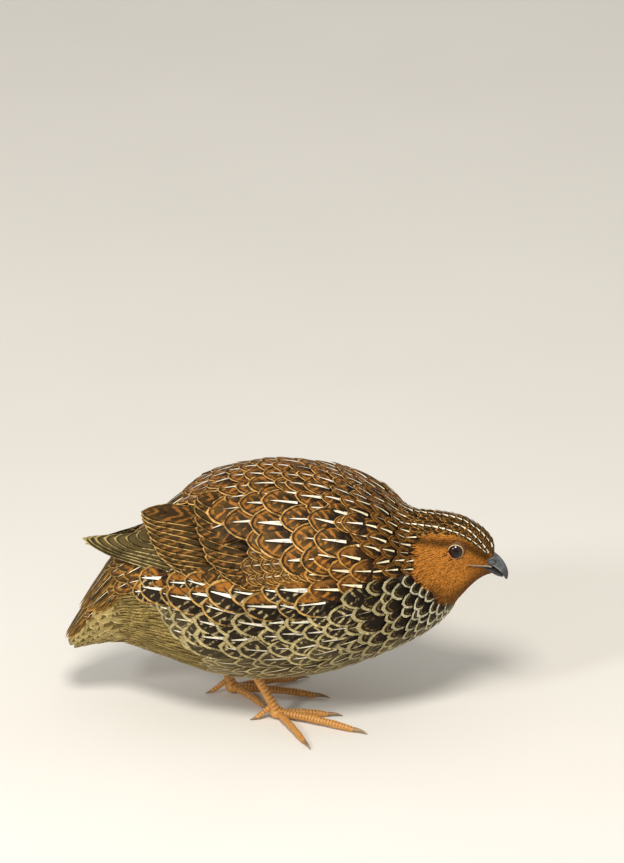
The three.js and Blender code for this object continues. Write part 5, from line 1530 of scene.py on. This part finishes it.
EYE = eye_material()
for side, word in SIDES.items():
    axis = EYE_AXIS * [1, side, 1]
    across_eye = unit(np.cross(axis, [0, 0, 1]))
    over_eye = np.cross(across_eye, axis)
    polar = np.concatenate([np.linspace(0.02, 1.3, FRONT_RINGS), np.linspace(1.36, math.pi - 0.05, BACK_RINGS)])
    t = np.linspace(0, 2 * math.pi, 48, endpoint=False)
    p, q = np.meshgrid(polar, t, indexing="ij")
    radius = EYE_RADIUS + CORNEA_BULGE * np.clip(1 - p / CORNEA_ANGLE, 0, 1) ** 1.5
    rings = EYE_AT * [1, side, 1] + radius[..., None] * (
        np.cos(p)[..., None] * axis + np.sin(p)[...,
            None] * (np.cos(q)[..., None] * across_eye + np.sin(q)[..., None] * over_eye))
    ball = tube("eyeball_" + word, metres(rings))
    away = unit(np.array([v.co for v in ball.data.vertices]) - metres(EYE_AT * [1, side, 1]))
    set_attribute(ball.data, "angle", "FLOAT", np.arccos(np.clip(away @ axis, -1, 1)))
    spokes = np.column_stack([away @ across_eye, away @ over_eye])
    spokes = spokes / np.maximum(np.linalg.norm(spokes, axis=1, keepdims=True), 1e-3)
    set_attribute(ball.data, "spokes", "FLOAT_VECTOR", np.column_stack([spokes * 3.0, away @ axis]))
    ball.data.materials.append(EYE)
    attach(ball, "root")
    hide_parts("eye_" + word)

    # The lid is a ring with a rounded pale edge that rests on the ball and slopes out under the feathers.
    profile = [(2.74, -0.15), (2.78, 0.08), (2.84, 0.2), (2.94, 0.24), (3.04, 0.16), (3.16, 0.06), (3.4, 0.02),
        (3.7, -0.35), (4.3, -0.9)]
    t = np.linspace(0, 2 * math.pi, LID_POINTS, endpoint=False)
    almond = 1 + 0.025 * np.cos(2 * t) + 0.02 * np.cos(t)
    behind = LID_BEHIND * np.clip(-0.7 * side * np.cos(t) - 0.7 * np.sin(t), 0, 1)
    verts, marks_on = [], []
    for reach, lift in profile:
        r = reach * almond
        depth = np.sqrt(np.maximum(EYE_RADIUS**2 - np.minimum(r, 3.3) ** 2, 0)) - np.maximum(r - 3.3, 0) * 0.35
        bead = 0.03 * np.sin(t * 40) * (2.7 < reach < 3.1)
        verts.append(EYE_AT * [1, side, 1] + (depth + lift + bead + behind * (reach > 2.8))[:,
            None] * axis + (r * np.cos(t))[:, None] * across_eye + (r * np.sin(t))[:, None] * over_eye)
        marks_on.append(np.full(LID_POINTS,
            {2.74: -1.0, 2.78: -1.0, 2.84: 0.3, 2.94: 1.0, 3.04: 0.5, 3.2: -0.4}.get(reach, 0.0)))
    under = [v - 0.5 * axis for v in reversed(verts)]
    rings, ring_marks = verts + under, marks_on + [np.zeros(LID_POINTS)] * len(under)
    count, around = len(rings), LID_POINTS
    faces = [(i * around + j, i * around + (j + 1) % around, ((i + 1) % count) * around + (j + 1) % around,
        ((i + 1) % count) * around + j) for i in range(count) for j in range(around)]
    lid = face_outward(mesh_object("eyelid_" + word, metres(np.concatenate(rings)), faces))
    set_attribute(lid.data, "relief", "FLOAT", np.concatenate(ring_marks))
    lid.data.materials.append(LID)
    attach(lid, "root")

# %% [markdown]
# ## Feet with scutes
# The shank and the toes carry a row of broad horny plates, the scutes, over their front and top. The leg is
# first one smooth surface, from tubes joined by a voxel remesh. Then every point looks up its place along
# the nearest bone, and the plates are raised by that.


# %% Feet
def leg_paths(foot):
    """Each bone as a path with radii, in the bird's frame: the shank, three toes and the hind toe."""
    place = np.array([foot["x"], foot["side"] * FOOT_REACH, 0.0])
    turned = lambda p, degrees: p @ np.array([[math.cos(k := math.radians(foot["turn"] + degrees)), math.sin(k), 0],
        [-math.sin(k), math.cos(k), 0], [0, 0, 1]]) + place
    shank = np.array([0, 0, 2.2]) + (ankle(foot) + [0, 0, 0] - [0, 0, 2.2]) * np.linspace(0, 1.12, 60)[:, None]
    thick = np.interp(np.linspace(0, 1.12, 60), [0, 0.2, 0.4, 0.6, 0.8, 1.0, 1.12],
        np.array([1.12, 0.94, 0.88, 0.92, 1.06, 1.25, 1.3]) * SHANK_RADIUS)
    paths = [("shank", shank + place, thick, (1, 0, 0))]
    for toe in TOES:
        line = bend((0.5, 0, 2.3), (toe["length"] / 2, 0, 1.6 + toe["arch"]),
            (toe["length"], 0, 0.72 * toe["thick"]), 90)
        pads = np.interp(np.linspace(0, 1, 90), np.linspace(0, 1, 9),
            np.array([1.2, 0.95, 1.05, 0.92, 1.04, 0.88, 0.98, 0.84, 0.7]) * toe["thick"])
        paths.append((toe["name"], turned(line, foot[toe["name"]]), pads, (0, 0, 1)))
    slope = np.array([6.4, 0, 1.2 * 0.8 - 5.6])
    line = np.array([2.4, 0, 5.6]) + slope * np.linspace(-0.2, 1, 40)[:, None]
    paths.append(("hind", turned(line, foot["hind"]),
        1.2 * np.interp(np.linspace(0, 1, 40), [0, 0.4, 0.75, 1], [0.9, 1, 0.95, 0.78]), (0, 0, 1)))
    return paths


def foot_piece(foot):
    paths = leg_paths(foot)
    parts = [tube(name, metres(swept(points, radii, 20, 0.95, up))) for name, points, radii, up in paths]
    middle = np.array([foot["x"], foot["side"] * FOOT_REACH, 2.3])
    p, q = np.meshgrid(np.linspace(0.05, math.pi - 0.05, 20), np.linspace(0, 2 * math.pi, 28, endpoint=False),
        indexing="ij")
    parts.append(tube("ball", metres(middle + np.stack([3.3 * np.sin(p) * np.cos(q), 3.3 * np.sin(p) * np.sin(q),
        2.3 * np.cos(p)], -1))))
    body = join_pieces("foot_" + foot["name"], parts)
    remesh = body.modifiers.new("one surface", "REMESH")
    remesh.mode, remesh.voxel_size = "VOXEL", 0.32 * MM
    smooth = body.modifiers.new("smooth", "SMOOTH")
    smooth.factor, smooth.iterations = 0.5, 5
    made = bpy.data.meshes.new_from_object(body.evaluated_get(bpy.context.evaluated_depsgraph_get()))
    discard(body)
    spots = np.array([v.co for v in made.vertices])
    normals = np.array([v.normal for v in made.vertices])
    best, relief, raised = np.full(len(spots), 1e9), np.zeros(len(spots)), np.zeros(len(spots))
    for name, points, radii, up in paths:
        points = metres(points)
        ahead, side, top = frames_along(points, up)
        tree = KDTree(len(points))
        for i, point in enumerate(points):
            tree.insert(point, i)
        tree.balance()
        found = [tree.find(s) for s in spots]
        near, away = np.array([f[1] for f in found]), np.array([f[2] for f in found]) - radii[[f[1] for f in found]] * MM
        walk = np.concatenate([[0], np.cumsum(np.linalg.norm(np.diff(points, axis=0), axis=1))]) / MM
        phase = walk[near] + np.sum((spots - points[near]) * ahead[near], 1) / MM
        facing = np.sum(unit(spots - points[near]) * top[near], 1)
        pitch = 1.75 if name == "shank" else 1.35
        saw = (phase / pitch) % 1.0
        plate = np.clip((facing + 0.15) / 0.3, 0, 1)
        groove = np.exp(-((np.minimum(saw, 1 - saw) / 0.13) ** 2))
        shape = (0.2 * saw**1.5 - 0.22 * groove) * plate * (0.8 if name == "shank" else 0.62)
        line = np.where(saw > 0.72, 0.8 * (saw - 0.72) / 0.28, 0) * plate - 1.0 * groove * plate
        better = away < best
        best, relief, raised = np.where(better, away, best), np.where(better, line, relief), np.where(better, shape,
            raised)
    spots += normals * (raised * MM)[:, None]
    spots[:, 2] = np.maximum(spots[:, 2], 0.00003)
    made.vertices.foreach_set("co", spots.astype(np.float32).ravel())
    obj = bpy.data.objects.new("foot_" + foot["name"], made)
    bpy.context.scene.collection.objects.link(obj)
    set_attribute(made, "relief", "FLOAT", np.clip(relief * 1.9, -1, 1))
    made.materials.clear()
    made.materials.append(SCUTES)
    made.shade_smooth()
    print(obj.name, len(made.polygons), "faces")
    return obj


def claw_piece(foot):
    place = np.array([foot["x"], foot["side"] * FOOT_REACH, 0.0])
    parts = []
    for toe in TOES:
        start, thick = toe["length"] - 0.6, toe["thick"]
        line = bend((start, 0, 0.78 * thick), (start + 0.6 * CLAW_LENGTH, 0, 1.15 * thick),
            (toe["length"] + 0.51 + CLAW_LENGTH, 0, 0.34), 26)
        parts.append((line, toe["thick"] * np.interp(np.linspace(0, 1, 26), [0, 0.3, 0.7, 1],
            [0.6, 0.5, 0.3, 0.07]), foot[toe["name"]]))
    slope = np.array([6.4, 0, 1.2 * 0.8 - 5.6])
    line = np.array([2.4, 0, 5.6]) + slope * np.linspace(0.96, 1.42, 16)[:, None]
    line[:, 2] = np.maximum(line[:, 2], np.interp(np.linspace(0, 1, 16), [0, 0.5, 1], [1.2, 0.75, 0.3]))
    parts.append((line, 1.2 * np.interp(np.linspace(0, 1, 16), [0, 0.5, 1], [0.62, 0.42, 0.1]), foot["hind"]))
    made = []
    for line, radii, degrees in parts:
        k = math.radians(foot["turn"] + degrees)
        spin = np.array([[math.cos(k), math.sin(k), 0], [-math.sin(k), math.cos(k), 0], [0, 0, 1]])
        rings = swept(line @ spin + place, radii, 14)
        rings[..., 2] = np.maximum(rings[..., 2], 0.03)
        made.append(tube("claw", metres(rings)))
    claws = join_pieces("claws_" + foot["name"], made)
    relief = np.array([-0.5 * math.sin(v.co.x * 5000) for v in claws.data.vertices])
    set_attribute(claws.data, "relief", "FLOAT", relief * 0.4)
    claws.data.materials.append(CLAW)
    return claws


for foot in FEET:
    word = foot["name"]
    leg, claws = foot_piece(foot), claw_piece(foot)
    names = ("inner", "middle", "outer", "hind")
    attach(leg, "root")
    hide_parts("shank_" + word, *(f"toe_{n}_{word}" for n in names))
    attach(claws, "root")
    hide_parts(*(f"claw_{n}_{word}" for n in names))

# %% [markdown]
# ## Floor and light
# The part stands on a plain pale floor in soft studio light. The floor isn't part of the object.


# %% Floor and lights
def floor_material():
    made = bpy.data.materials.new("pale floor")
    made.use_nodes = True
    wires = Wiring(made.node_tree)
    shader = made.node_tree.nodes["Principled BSDF"]
    fine = wires.noise(wires.add("ShaderNodeTexCoord").outputs["Object"], 6.0, 3.0)
    made.node_tree.links.new(wires.mix(fine, colour("d9d5cc"), colour("e2ded6")), shader.inputs["Base Color"])
    shader.inputs["Roughness"].default_value = 0.9
    return made


floor = mesh_object("floor", [(-3, -3, 0), (3, -3, 0), (3, 3, 0), (-3, 3, 0)], [(0, 1, 2, 3)])
floor.data.materials.append(floor_material())
sky = bpy.data.worlds.new("studio")
sky.use_nodes = True
sky.node_tree.nodes["Background"].inputs["Color"].default_value = (1.0, 0.98, 0.95, 1.0)
sky.node_tree.nodes["Background"].inputs["Strength"].default_value = 0.6
bpy.context.scene.world = sky


def softbox(name, place, size, power, tint=(1.0, 1.0, 1.0)):
    lamp = bpy.data.lights.new(name, "AREA")
    lamp.shape, lamp.size, lamp.energy, lamp.color = "DISK", size, power, tint
    obj = bpy.data.objects.new(name, lamp)
    bpy.context.scene.collection.objects.link(obj)
    obj.location = place
    obj.rotation_euler = (Vector((0, 0, 0.06)) - Vector(place)).to_track_quat("-Z", "Y").to_euler()


softbox("key", (0.0, -0.85, 1.2), 0.4, 16, (1.0, 0.97, 0.92))
softbox("fill", (-0.75, -0.9, 0.75), 0.2, 6, (0.95, 0.97, 1.0))

# %% Clear the guides and finish
discard(coat_guide, *wing_guides.values(), *LEAVES.values())
